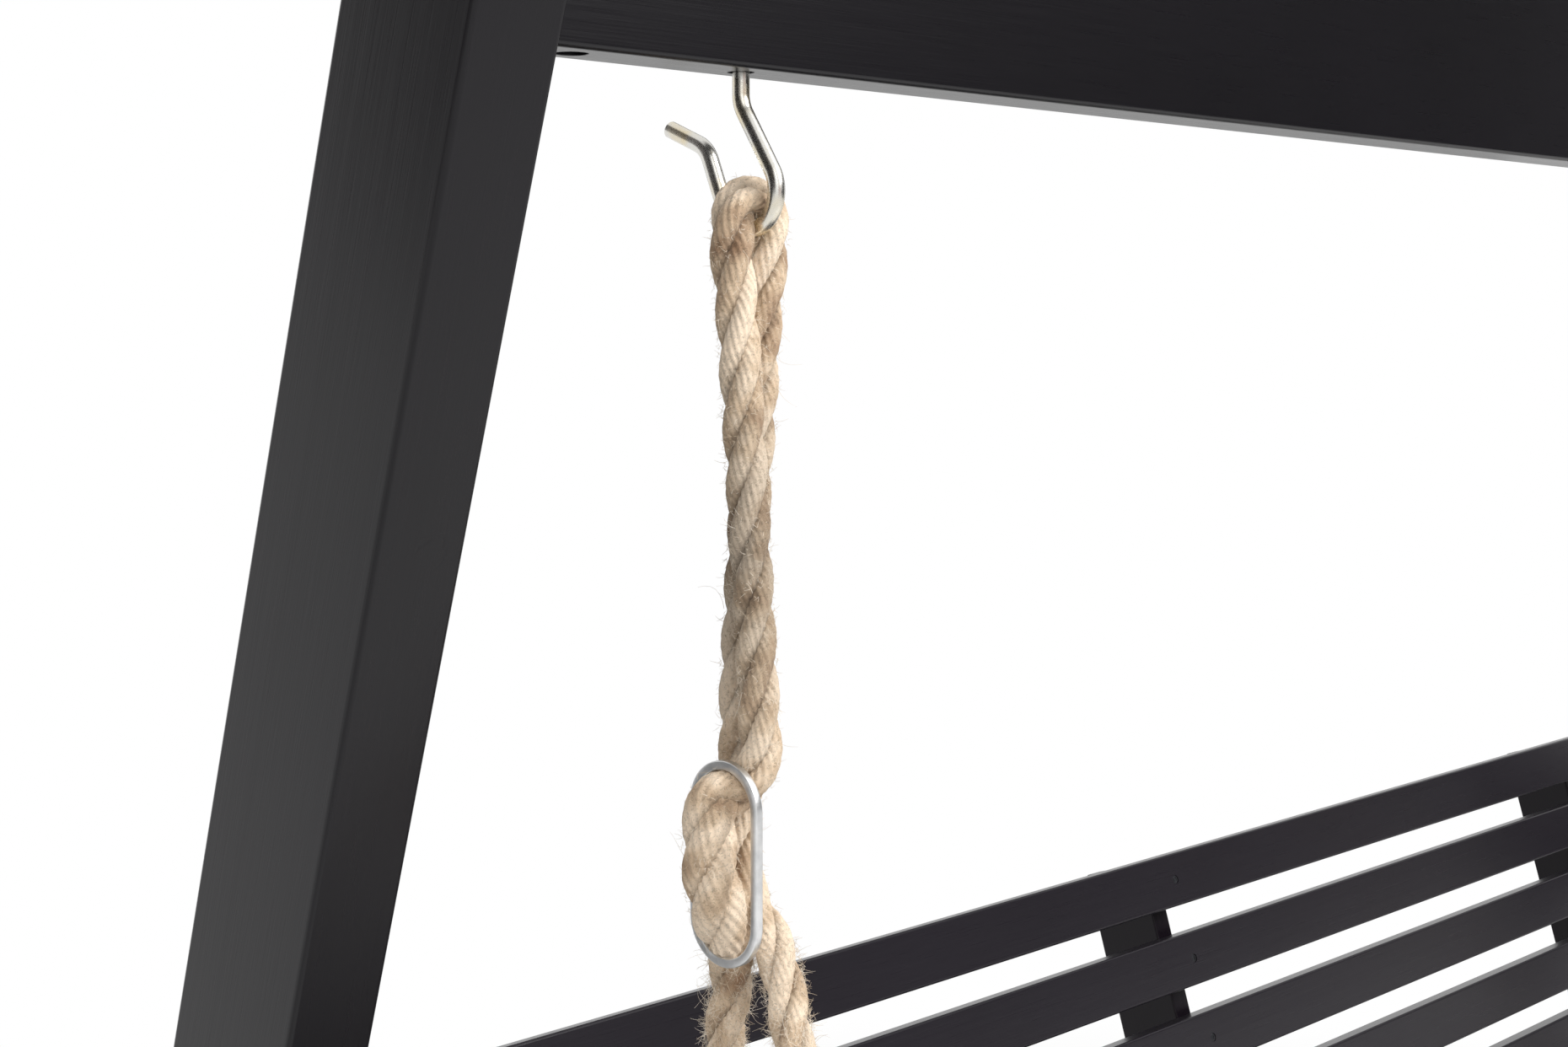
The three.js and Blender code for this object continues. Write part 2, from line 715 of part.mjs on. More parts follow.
// One rope per side. Points are [outboard, back, height] from the hook's axis at the beam's underside:
// from the front bearer up through the ring, over the hook, and down to the rear bearer.
const ropeRoute = [
  [0, -333.2, -1282.7],
  [0, -326.5, -1190],
  [0, -323.5, -1157],
  [0, -316, -1120],
  [0, -290, -1050],
  [0, -31, -457],
  [-6.4, -13.6, -407],
  [-7.6, 1.4, -386],
  [-1.6, 8, -366],
  [-4.6, 9.8, -344],
  [-4.2, 11.4, -298],
  [-9.4, 4, -140],
  [-10.2, 2, -112],
  [-12, 1, -94],
  [-14.3, 0.2, -79],
  [-13.3, 0, -66.5],
  [-8, 0, -60],
  [0, 0, -57.6],
  [8, 0, -60],
  [13.3, 0, -66.5],
  [14.3, -0.2, -79],
  [12, -1, -94],
  [10.2, -2, -112],
  [9.4, -4, -140],
  [3.4, -9.6, -298],
  [2.6, -9.2, -313],
  [4.8, -6.6, -327.5],
  [13.4, -1.6, -334],
  [22.2, 2.6, -339.5],
  [25.6, 5, -354],
  [24.6, 5.6, -369],
  [17, 5.2, -385.5],
  [6.6, 7, -401.5],
  [1.8, 9.8, -414.5],
  [0, 17.6, -457],
  [0, 140, -1090],
  [0, 150.5, -1155],
  [0, 152.2, -1194],
  [0, 149.7, -1228],
  [0, 142.6, -1320.3],
];

function makeRope(side, x) {
  const points = ropeRoute.map(([out, y, z]) => new THREE.Vector3(x * out, y, z));
  const stepsEach = 2;
  const curve = new THREE.CatmullRomCurve3(points, false, "centripetal");
  const stations = curve.getPoints((points.length - 1) * stepsEach);
  const knots = [stations[0], stations[stations.length - 1]].map((end) => {
    const half = rope.knotHeight / 2;
    const rise = rope.tail + half;
    const profile = [];
    const parts = 6;
    for (let part = 0; part <= parts; part++) {
      const angle = (part / parts - 0.5) * Math.PI;
      const radius = part === 0 || part === parts ? 0 : (Math.cos(angle) * rope.knotWidth) / 2;
      profile.push(new THREE.Vector2(radius, Math.sin(angle) * half));
    }
    const knot = new THREE.LatheGeometry(profile, rope.sides).rotateX(Math.PI / 2);
    return knot.rotateX(-seatTilt).translate(end.x, end.y, end.z + rise);
  });
  place(join([sweep(stations, rope.diameter, rope.sides), ...knots]), `rope_${side}`, hemp, swing, [
    (x * hookSpacing) / 2,
    0,
    beamUnderside,
  ]);
}

makeBeam();
makeStretcher();
makeBack();
makeSeat();
makeBearers();
for (const [side, x] of [
  ["left", -1],
  ["right", 1],
]) {
  makeRearLeg(side, x);
  makeFrontLeg(side, x);
  makeLegScrew(side, x);
  makeSideRail(side, x);
  makeSideRailBolt(side, x);
  makeStretcherScrew(side, x);
  makeBeamBolts(side, x);
  makeHook(side, x);
  makeArm(side, x);
  makeRing(side, x);
  makeRope(side, x);
}

export default swing;
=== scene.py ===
import json
import math
import random

import bmesh
import bpy
from mathutils import Matrix, Vector

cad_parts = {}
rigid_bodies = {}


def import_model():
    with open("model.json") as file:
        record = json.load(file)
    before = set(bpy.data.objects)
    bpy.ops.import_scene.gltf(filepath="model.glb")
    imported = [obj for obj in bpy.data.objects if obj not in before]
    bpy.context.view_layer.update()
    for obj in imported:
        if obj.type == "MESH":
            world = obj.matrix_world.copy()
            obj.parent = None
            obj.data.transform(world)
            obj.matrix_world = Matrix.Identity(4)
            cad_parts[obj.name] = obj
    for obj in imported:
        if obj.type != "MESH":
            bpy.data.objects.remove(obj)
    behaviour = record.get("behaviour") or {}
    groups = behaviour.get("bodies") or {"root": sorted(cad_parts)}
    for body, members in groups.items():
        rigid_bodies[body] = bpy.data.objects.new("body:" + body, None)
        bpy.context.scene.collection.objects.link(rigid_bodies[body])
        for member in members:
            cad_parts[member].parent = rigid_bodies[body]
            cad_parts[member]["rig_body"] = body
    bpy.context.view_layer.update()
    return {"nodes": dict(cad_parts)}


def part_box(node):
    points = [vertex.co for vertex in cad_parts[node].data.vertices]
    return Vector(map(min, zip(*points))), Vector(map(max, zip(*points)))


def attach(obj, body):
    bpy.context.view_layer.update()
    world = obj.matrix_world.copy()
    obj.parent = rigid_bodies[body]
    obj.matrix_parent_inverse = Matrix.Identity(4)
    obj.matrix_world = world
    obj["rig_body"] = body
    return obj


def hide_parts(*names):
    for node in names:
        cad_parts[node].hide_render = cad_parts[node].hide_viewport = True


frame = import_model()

mm = 0.001
quarter = math.pi / 2
sides = {"left": -1, "right": 1}
swing = {"beamUnderside": 1560, "hookSpacing": 1760}  # the two sizes that every piece hangs from
print("frame loaded:", len(frame["nodes"]), "pieces")


def vec(x, y, z):
    return Vector((x * mm, y * mm, z * mm))


def perMetre(size):
    # the scale of a pattern whose grain is so many millimetres
    return 1 / (size * mm)


def colour(hexCode):
    # sRGB hex to the linear colour that a shader takes
    parts = [int(hexCode[i : i + 2], 16) / 255 for i in (1, 3, 5)]
    return [p / 12.92 if p <= 0.04045 else ((p + 0.055) / 1.055) ** 2.4 for p in parts] + [1.0]


# Camera at the photograph's view: from the bench's left end, close to the frame's upper left corner
cameraView = {
    "lens": 51.87,
    "sensor": 36,
    "nearest": 50,
    "place": (-1619, -742.5, 1445.2),
    "heading": 45.738,
    "dip": 5.054,
}


def addCamera():
    data = bpy.data.cameras.new("Camera")
    data.lens = cameraView["lens"]
    data.sensor_width = cameraView["sensor"]
    data.clip_start = cameraView["nearest"] * mm
    eye = bpy.data.objects.new("Camera", data)
    eye.location = vec(*cameraView["place"])
    eye.rotation_euler = (math.radians(90 - cameraView["dip"]), 0, math.radians(-cameraView["heading"]))
    bpy.context.scene.collection.objects.link(eye)
    bpy.context.scene.camera = eye


addCamera()


def addNode(tree, kind, settings=None, links=None):
    # one shader node, with its values set and its inputs linked; "stops" fill a colour ramp
    made = tree.nodes.new("ShaderNode" + kind)
    for name, value in (settings or {}).items():
        if name == "stops":
            while len(made.color_ramp.elements) < len(value):
                made.color_ramp.elements.new(0.5)
            for element, (place, tone) in zip(made.color_ramp.elements, value):
                element.position = place
                element.color = colour(tone) if isinstance(tone, str) else (tone, tone, tone, 1)
        elif isinstance(name, int) or name in made.inputs:
            made.inputs[name].default_value = value
        else:
            setattr(made, name, value)
    for name, source in (links or {}).items():
        tree.links.new(source, made.inputs[name])
    return made


def newMaterial(name):
    material = bpy.data.materials.new(name)
    material.use_nodes = True
    material.node_tree.nodes.clear()
    return material, material.node_tree


# Planed softwood under two thin sprayed coats of black water-borne paint. The grain telegraphs through
# the film as fine ridges, and the film is semi-matt, so it greys where it is seen at a low angle.
paint = {
    # two tones and a gloss level for each kind of board, all of one black paint: the slats are painted a little
    # lighter and redder as painted light, and the back ribs darker as painted shade, as they stand behind the slats
    "leg": ("#100f11", "#161418", 0.25),
    "beam": ("#0f0e10", "#151317", 0.31),
    "slat": ("#1b181c", "#211e24", 0.27),
    "rib": ("#0d080e", "#130d14", 0.19),
    "roughness": (0.24, 0.34),
    "index": 1.5,
    "cloud": 200,  # size of the patches in which one tone changes to the other
    # width and length of one streak, then the noise's detail and roughness
    "fibre": (0.9, 60, 3, 0.6),
    "ring": (7, 420, 2, 0.45),
    "ringRelief": 1.6,  # how much higher the growth rings stand than the fibres
    "ridge": 0.05,
}
# A dead knot in the left rear leg: the film has sunk a little in a ragged, broken ring round it
deadKnot = {
    "at": (-1029, 46.5, 1346.5),
    "radius": 7,
    "stray": 7.6923,
    "strayReach": 0.9,  # share of the radius
    "ringAt": 1.5,  # share of the radius
    "width": 1.5,
    "sunk": -2.2,  # in ridges
    "breaks": 11.111,
    "breakStops": [(0.42, 0.0), (0.56, 1.0)],
}


def knotRelief(tree, place, height):
    # adds the knot's groove to the paint's relief
    radius = deadKnot["radius"] * mm
    away = addNode(tree, "VectorMath", {"operation": "DISTANCE", 1: vec(*deadKnot["at"])}, {0: place})
    stray = addNode(tree, "TexNoise", {"Scale": perMetre(deadKnot["stray"]), "Detail": 1.0}, {"Vector": place})
    wobble = addNode(
        tree, "Math", {"operation": "MULTIPLY_ADD", 1: radius * deadKnot["strayReach"]},
        {0: stray.outputs["Fac"], 2: away.outputs["Value"]},
    )
    offRing = addNode(
        tree, "Math", {"operation": "SUBTRACT", 1: radius * deadKnot["ringAt"]}, {0: wobble.outputs["Value"]}
    )
    near = addNode(tree, "Math", {"operation": "ABSOLUTE"}, {0: offRing.outputs["Value"]})
    groove = addNode(
        tree, "MapRange", {"From Max": deadKnot["width"] * mm, "To Min": deadKnot["sunk"], "To Max": 0.0},
        {"Value": near.outputs["Value"]},
    )
    breaks = addNode(tree, "TexNoise", {"Scale": perMetre(deadKnot["breaks"])}, {"Vector": place})
    broken = addNode(tree, "ValToRGB", {"stops": deadKnot["breakStops"]}, {"Fac": breaks.outputs["Fac"]})
    groove = addNode(
        tree, "Math", {"operation": "MULTIPLY"}, {0: groove.outputs["Result"], 1: broken.outputs["Color"]}
    )
    return addNode(tree, "Math", {"operation": "ADD"}, {0: height, 1: groove.outputs["Value"]}).outputs["Value"]


def paintedPine(name, turn, batch="leg", knotty=False):
    # turn lays the grain, which runs along the pattern's own X, along the board
    material, tree = newMaterial(name)
    place = addNode(tree, "TexCoord").outputs["Object"]
    grain = addNode(tree, "Mapping", {"vector_type": "TEXTURE", "Rotation": turn}, {"Vector": place})

    def streaks(width, length, detail, rough):
        scale = (perMetre(length), perMetre(width), perMetre(width))
        spread = addNode(tree, "Mapping", {"Scale": scale}, {"Vector": grain.outputs["Vector"]})
        noise = {"Scale": 1.0, "Detail": detail, "Roughness": rough}
        return addNode(tree, "TexNoise", noise, {"Vector": spread.outputs["Vector"]}).outputs["Fac"]

    fibres = streaks(*paint["fibre"])
    rings = streaks(*paint["ring"])
    dark, light, specular = paint[batch]
    cloud = addNode(tree, "TexNoise", {"Scale": perMetre(paint["cloud"]), "Detail": 2.0}, {"Vector": place})
    film = addNode(
        tree, "Mix", {"data_type": "RGBA", 6: colour(dark), 7: colour(light)}, {0: cloud.outputs["Fac"]}
    )
    low, high = paint["roughness"]
    gloss = addNode(tree, "MapRange", {"To Min": low, "To Max": high}, {"Value": fibres})
    relief = addNode(tree, "Math", {"operation": "MULTIPLY_ADD", 1: paint["ringRelief"]}, {0: rings, 2: fibres})
    height = relief.outputs["Value"]
    if knotty:
        height = knotRelief(tree, place, height)
    bump = addNode(tree, "Bump", {"Strength": 1.0, "Distance": paint["ridge"] * mm}, {"Height": height})
    shader = addNode(
        tree,
        "BsdfPrincipled",
        {"IOR": paint["index"], "Specular IOR Level": specular},
        {"Base Color": film.outputs[2], "Roughness": gloss.outputs["Result"], "Normal": bump.outputs["Normal"]},
    )
    addNode(tree, "OutputMaterial", links={"Surface": shader.outputs["BSDF"]})
    return material


# Bright zinc on drawn steel wire: it shines softly, and its passivation leaves it a little yellow in patches
wireZinc = {
    "tones": ("#dedcd6", "#e0d0aa"),
    "patch": 16.667,
    "patchStops": [(0.45, 0.0), (0.75, 1.0)],
    "roughness": (0.19, 0.35),
    "grain": 1.1111,
    "bump": (0.25, 0.02),  # strength and depth
}


def brightZinc():
    material, tree = newMaterial("brightZincOnDrawnWire")
    place = addNode(tree, "TexCoord").outputs["Object"]
    patch = addNode(tree, "TexNoise", {"Scale": perMetre(wireZinc["patch"]), "Detail": 3.0}, {"Vector": place})
    warm = addNode(tree, "ValToRGB", {"stops": wireZinc["patchStops"]}, {"Fac": patch.outputs["Fac"]})
    cool, yellow = wireZinc["tones"]
    tone = addNode(
        tree, "Mix", {"data_type": "RGBA", 6: colour(cool), 7: colour(yellow)}, {0: warm.outputs["Color"]}
    )
    grain = addNode(tree, "TexNoise", {"Scale": perMetre(wireZinc["grain"]), "Detail": 2.0}, {"Vector": place})
    low, high = wireZinc["roughness"]
    gloss = addNode(tree, "MapRange", {"To Min": low, "To Max": high}, {"Value": grain.outputs["Fac"]})
    strength, depth = wireZinc["bump"]
    bump = addNode(
        tree, "Bump", {"Strength": strength, "Distance": depth * mm}, {"Height": grain.outputs["Fac"]}
    )
    shader = addNode(
        tree,
        "BsdfPrincipled",
        {"Metallic": 1.0},
        {"Base Color": tone.outputs[2], "Roughness": gloss.outputs["Result"], "Normal": bump.outputs["Normal"]},
    )
    addNode(tree, "OutputMaterial", links={"Surface": shader.outputs["BSDF"]})
    return material


# Cut and tumbled flat bar, hot-dip galvanised and brushed: satin, with fine marks across the narrow face
barZinc = {
    "toneStops": [(0.3, "#cfd0d0"), (0.7, "#ebebeb")],
    "cloud": 6.6667,
    "mark": (16.667, 0.45),  # length and width of one mark
    "roughness": (0.27, 0.44),
    "bump": (0.5, 0.05),
}


def brushedGalvanised():
    material, tree = newMaterial("brushedGalvanisedBar")
    place = addNode(tree, "TexCoord").outputs["Object"]
    length, width = barZinc["mark"]
    scale = (perMetre(length), perMetre(length), perMetre(width))
    across = addNode(tree, "Mapping", {"Scale": scale}, {"Vector": place})
    marks = addNode(tree, "TexNoise", {"Scale": 1.0, "Detail": 2.0}, {"Vector": across.outputs["Vector"]})
    cloud = addNode(tree, "TexNoise", {"Scale": perMetre(barZinc["cloud"]), "Detail": 3.0}, {"Vector": place})
    tone = addNode(tree, "ValToRGB", {"stops": barZinc["toneStops"]}, {"Fac": cloud.outputs["Fac"]})
    low, high = barZinc["roughness"]
    gloss = addNode(tree, "MapRange", {"To Min": low, "To Max": high}, {"Value": marks.outputs["Fac"]})
    strength, depth = barZinc["bump"]
    bump = addNode(
        tree, "Bump", {"Strength": strength, "Distance": depth * mm}, {"Height": marks.outputs["Fac"]}
    )
    shader = addNode(
        tree,
        "BsdfPrincipled",
        {"Metallic": 1.0},
        {"Base Color": tone.outputs["Color"], "Roughness": gloss.outputs["Result"], "Normal": bump.outputs["Normal"]},
    )
    addNode(tree, "OutputMaterial", links={"Surface": shader.outputs["BSDF"]})
    return material


# Black zinc on turned and forged steel heads: dark and satin, rubbed brighter in specks
headZinc = {
    "toneStops": [(0.35, "#26272a"), (0.75, "#45464a")],
    "speck": 4.5455,
    "roughness": (0.3, 0.5),
    "bump": (0.3, 0.03),
    "metallic": 0.8,
}


def blackZinc():
    material, tree = newMaterial("blackZincOnSteel")
    place = addNode(tree, "TexCoord").outputs["Object"]
    speck = addNode(tree, "TexNoise", {"Scale": perMetre(headZinc["speck"]), "Detail": 4.0}, {"Vector": place})
    tone = addNode(tree, "ValToRGB", {"stops": headZinc["toneStops"]}, {"Fac": speck.outputs["Fac"]})
    low, high = headZinc["roughness"]
    gloss = addNode(tree, "MapRange", {"To Min": low, "To Max": high}, {"Value": speck.outputs["Fac"]})
    strength, depth = headZinc["bump"]
    bump = addNode(
        tree, "Bump", {"Strength": strength, "Distance": depth * mm}, {"Height": speck.outputs["Fac"]}
    )
    shader = addNode(
        tree,
        "BsdfPrincipled",
        {"Metallic": headZinc["metallic"]},
        {"Base Color": tone.outputs["Color"], "Roughness": gloss.outputs["Result"], "Normal": bump.outputs["Normal"]},
    )
    addNode(tree, "OutputMaterial", links={"Surface": shader.outputs["BSDF"]})
    return material


# Spun hemp: dry, matt bast fibre. Each yarn keeps its own tone, and the colour gets painted shade where
# the yarns sink together, in the gaps between the loose-lying fibres and in the grooves between the strands.
hemp = {
    "toneStops": [(0.55, "#94765c"), (0.82, "#d2ba9e"), (0.95833, "#ecd8c0")],
    "slant": 260.0,  # yarn widths that a fibre crosses in a metre, since the yarn is twisted too
    "fibresPerYarn": 7.0,
    "fibre": 6.25,  # length of one fibre's shade along the yarn
    "slub": 18.182,
    "fibreShare": 0.55,
    "yarnShare": 0.22,
    # painted shade: darkens each yarn towards its edges, where the yarns sink together
    "sinkStops": [(0.22, 1.0), (0.5, 0.5)],  # from a yarn's crown to its edge
    "tangle": 1.6129,  # short fibres that lie every way over the yarns
    # painted shade: the dark gaps between the short fibres that lie over the yarns
    "gapStops": [(0.36, 0.62), (0.5, 1.0)],  # the dark gaps between them
    # painted shade: darkens the yarn towards the grooves between the strands, by the crown attribute
    "dustStops": [(0.36, 0.64), (0.58, 1.0)],  # from a strand's groove to its crown
    "bump": (0.9, 0.22),
    "finish": {"Roughness": 0.85, "Specular IOR Level": 0.25, "Sheen Weight": 0.12, "Sheen Roughness": 0.4},
}


def hempYarn():
    material, tree = newMaterial("spunHempYarn")
    place = addNode(tree, "TexCoord").outputs["Object"]
    # U counts yarns round the strand, and V is the way along it in metres
    track = addNode(tree, "SeparateXYZ", links={"Vector": addNode(tree, "UVMap", {"uv_map": "yarn"}).outputs["UV"]})
    count, way = track.outputs["X"], track.outputs["Y"]
    phase = addNode(tree, "Math", {"operation": "FRACT"}, {0: count})
    centred = addNode(tree, "Math", {"operation": "SUBTRACT", 1: 0.5}, {0: phase.outputs["Value"]})
    sink = addNode(tree, "Math", {"operation": "ABSOLUTE"}, {0: centred.outputs["Value"]})
    number = addNode(tree, "Math", {"operation": "FLOOR"}, {0: count})
    yarnShade = addNode(tree, "TexWhiteNoise", {"noise_dimensions": "1D"}, {"W": number.outputs["Value"]})
    slant = addNode(tree, "Math", {"operation": "MULTIPLY_ADD", 1: hemp["slant"]}, {0: way, 2: count})
    laid = addNode(tree, "CombineXYZ", links={"X": slant.outputs["Value"], "Y": way})
    scale = (hemp["fibresPerYarn"], perMetre(hemp["fibre"]), 1.0)
    hair = addNode(tree, "Mapping", {"Scale": scale}, {"Vector": laid.outputs["Vector"]})
    fibres = addNode(
        tree, "TexNoise", {"Scale": 1.0, "Detail": 3.0, "Roughness": 0.65}, {"Vector": hair.outputs["Vector"]}
    ).outputs["Fac"]
    slub = addNode(tree, "TexNoise", {"Scale": perMetre(hemp["slub"]), "Detail": 3.0}, {"Vector": place})
    mixed = addNode(
        tree, "Math", {"operation": "MULTIPLY_ADD", 1: hemp["fibreShare"]}, {0: fibres, 2: slub.outputs["Fac"]}
    )
    shade = addNode(
        tree, "Math", {"operation": "MULTIPLY_ADD", 1: hemp["yarnShare"]},
        {0: yarnShade.outputs["Value"], 2: mixed.outputs["Value"]},
    )
    tangle = addNode(
        tree, "TexNoise", {"Scale": perMetre(hemp["tangle"]), "Detail": 4.0, "Roughness": 0.7, "Distortion": 1.2},
        {"Vector": place},
    ).outputs["Fac"]
    crown = addNode(tree, "Attribute", {"attribute_name": "crown"}).outputs["Fac"]
    dyed = addNode(tree, "ValToRGB", {"stops": hemp["toneStops"]}, {"Fac": shade.outputs["Value"]}).outputs["Color"]
    # painted shade: these ramps darken the dyed colour at the yarns' edges, in the gaps between loose fibres and in
    # the strands' grooves
    for stops, source in (("sinkStops", sink.outputs["Value"]), ("gapStops", tangle), ("dustStops", crown)):
        dark = addNode(tree, "ValToRGB", {"stops": hemp[stops]}, {"Fac": source}).outputs["Color"]
        dyed = addNode(
            tree, "Mix", {"data_type": "RGBA", "blend_type": "MULTIPLY", 0: 1.0}, {6: dyed, 7: dark}
        ).outputs[2]
    relief = addNode(tree, "Math", {"operation": "ADD"}, {0: fibres, 1: tangle})
    strength, depth = hemp["bump"]
    bump = addNode(
        tree, "Bump", {"Strength": strength, "Distance": depth * mm}, {"Height": relief.outputs["Value"]}
    )
    shader = addNode(
        tree, "BsdfPrincipled", hemp["finish"], {"Base Color": dyed, "Normal": bump.outputs["Normal"]}
    )
    addNode(tree, "OutputMaterial", links={"Surface": shader.outputs["BSDF"]})
    return material


# Loose hemp fibre that stands off the yarn: paler than the yarn, since no shade gathers in it
looseHemp = {
    "toneStops": [(0.35, "#cdbba3"), (0.65, "#f1e8da")],
    "cloud": 11.111,
    "finish": {"Roughness": 0.7, "Specular IOR Level": 0.3},
}


def looseFibre():
    material, tree = newMaterial("looseHempFibre")
    place = addNode(tree, "TexCoord").outputs["Object"]
    cloud = addNode(tree, "TexNoise", {"Scale": perMetre(looseHemp["cloud"])}, {"Vector": place})
    tone = addNode(tree, "ValToRGB", {"stops": looseHemp["toneStops"]}, {"Fac": cloud.outputs["Fac"]})
    shader = addNode(tree, "BsdfPrincipled", looseHemp["finish"], {"Base Color": tone.outputs["Color"]})
    addNode(tree, "OutputMaterial", links={"Surface": shader.outputs["BSDF"]})
    return material


# Studio: a pale floor that fades into a white surround, an even white sky, and soft lamps
studio = {
    "floorWidth": 16000,
    "floor": "#efefee",
    "fade": (1600, 3000),  # how far out the floor starts to turn, and has turned, to the white surround
    "sky": 0.62,
    # the lamp by the rope lights matt surfaces alone, as the rope's shaded side is seen close up
    "lamps": {
        "Key": {"at": (1100, -3300, 4000), "aim": (-400, 0, 1200), "size": (1800,), "watts": 205},
        "Fill": {"at": (-4200, 1200, 3000), "aim": (-400, 0, 1100), "size": (2600,), "watts": 36},
        "Strip": {"at": (-2560, -2760, 3200), "aim": (-880, 0, 1480), "size": (500, 2300), "watts": 7},
        "Rope": {"at": (-1250, -900, 2250), "aim": (-880, 0, 1400), "size": (600,), "watts": 6, "mattOnly": True},
    },
    # cloth flags, seen only in reflections: the dark ones draw the dark lines on the bright metal and keep
    # the timber's front faces black, and the pink one gives the shank its warm band
    "flags": {
        "Right": {"at": (1492, -1908, 1950), "aim": (-358, -458, 1550), "size": (3450, 1900), "cloth": "black"},
        "Left": {"at": (-2270, 350, 2620), "aim": (-880, 213, 2300), "size": (2950, 2300), "cloth": "brown"},
        "Card": {"at": (-880, -2250, 1600), "aim": (-880, 0, 1500), "size": (1540, 800), "cloth": "pink"},
        "Back": {"at": (243, 1072, 1900), "aim": (-880, 0, 1500), "size": (1700, 900), "cloth": "brown"},
    },
    "cloths": {"black": ("#0c0c0d", "#141414"), "brown": ("#241d1a", "#2f2622"), "pink": ("#e0ccc6", "#eadad4")},
    "weave": 1.1111,
}


def finished(shape, name, material, smoothAngle=None):
    # turns a bmesh into an object at the origin, with its edges sharp from the angle on
    if smoothAngle is not None:
        for face in shape.faces:
            face.smooth = True
        for edge in shape.edges:
            edge.smooth = len(edge.link_faces) == 2 and edge.calc_face_angle(0) < math.radians(smoothAngle)
    data = bpy.data.meshes.new(name)
    shape.to_mesh(data)
    shape.free()
    data.materials.append(material)
    made = bpy.data.objects.new(name, data)
    bpy.context.scene.collection.objects.link(made)
    return made


def seenDirectly(tree, *rays):
    # 1 for the kinds of ray that show the white surround as it is
    path = addNode(tree, "LightPath")
    seen = path.outputs[rays[0]]
    for ray in rays[1:]:
        seen = addNode(tree, "Math", {"operation": "MAXIMUM"}, {0: seen, 1: path.outputs[ray]}).outputs["Value"]
    return seen


def addSky():
    world = bpy.data.worlds.new("Surround")
    bpy.context.scene.world = world
    world.use_nodes = True
    tree = world.node_tree
    tree.nodes.clear()
    seen = seenDirectly(tree, "Is Camera Ray", "Is Glossy Ray", "Is Transmission Ray")
    level = addNode(tree, "MapRange", {"To Min": studio["sky"], "To Max": 1.0}, {"Value": seen})
    light = addNode(tree, "Background", {"Color": (1, 1, 1, 1)}, {"Strength": level.outputs["Result"]})
    addNode(tree, "OutputWorld", links={"Surface": light.outputs["Background"]})


def addFloor():
    material, tree = newMaterial("paleStudioFloor")
    place = addNode(tree, "TexCoord").outputs["Object"]
    away = addNode(tree, "VectorMath", {"operation": "LENGTH"}, {0: place})
    near, far = studio["fade"]
    fade = addNode(
        tree, "MapRange", {"From Min": near * mm, "From Max": far * mm, "interpolation_type": "SMOOTHSTEP"},
        {"Value": away.outputs["Value"]},
    )
    seen = seenDirectly(tree, "Is Camera Ray", "Is Glossy Ray")
    share = addNode(tree, "Math", {"operation": "MULTIPLY"}, {0: seen, 1: fade.outputs["Result"]})
    matt = addNode(tree, "BsdfDiffuse", {"Color": colour(studio["floor"])})
    white = addNode(tree, "Emission", {"Color": (1, 1, 1, 1), "Strength": 1.0})
    mixed = addNode(
        tree, "MixShader",
        links={0: share.outputs["Value"], 1: matt.outputs["BSDF"], 2: white.outputs["Emission"]},
    )
    addNode(tree, "OutputMaterial", links={"Surface": mixed.outputs["Shader"]})
    shape = bmesh.new()
    bmesh.ops.create_grid(shape, x_segments=1, y_segments=1, size=studio["floorWidth"] / 2 * mm)
    floor = finished(shape, "Floor", material)


def addLamps():
    for name, lamp in studio["lamps"].items():
        data = bpy.data.lights.new(name, "AREA")
        data.size = lamp["size"][0] * mm
        data.energy = lamp["watts"]
        if len(lamp["size"]) == 2:
            data.shape = "RECTANGLE"
            data.size_y = lamp["size"][1] * mm
        made = bpy.data.objects.new(name, data)
        made.location = vec(*lamp["at"])
        made.rotation_euler = (vec(*lamp["aim"]) - made.location).to_track_quat("-Z", "Y").to_euler()
        made.visible_glossy = made.visible_camera = "mattOnly" not in lamp
        bpy.context.scene.collection.objects.link(made)


def addFlags():
    cloths = {}
    for name, (dark, light) in studio["cloths"].items():
        cloths[name], tree = newMaterial(name + "StudioCloth")
        place = addNode(tree, "TexCoord").outputs["Object"]
        weave = addNode(tree, "TexNoise", {"Scale": perMetre(studio["weave"])}, {"Vector": place})
        shade = addNode(tree, "ValToRGB", {"stops": [(0.3, dark), (0.7, light)]}, {"Fac": weave.outputs["Fac"]})
        matt = addNode(tree, "BsdfDiffuse", links={"Color": shade.outputs["Color"]})
        addNode(tree, "OutputMaterial", links={"Surface": matt.outputs["BSDF"]})
    for name, flag in studio["flags"].items():
        width, height = flag["size"]
        at, aim = vec(*flag["at"]), vec(*flag["aim"])
        facing = (aim - at).to_track_quat("Z", "Y").to_matrix().to_4x4()
        shape = bmesh.new()
        bmesh.ops.create_grid(shape, x_segments=1, y_segments=1, size=0.5)
        bmesh.ops.scale(shape, verts=shape.verts, vec=(width * mm, height * mm, 1))
        bmesh.ops.transform(shape, verts=shape.verts, matrix=Matrix.Translation(at) @ facing)
        panel = finished(shape, name + "Flag", cloths[flag["cloth"]])
        panel.visible_camera = panel.visible_diffuse = panel.visible_shadow = False


addSky()
addFloor()
addLamps()
addFlags()
bpy.context.scene.view_settings.view_transform = "Standard"
print("studio set")

zinc = brightZinc()
blackSteel = blackZinc()
ringMetal = brushedGalvanised()
yarn = hempYarn()
fibre = looseFibre()


def pieceName(node):
    return "".join(word.capitalize() for word in node.replace("seat_", "bench_").split("_"))


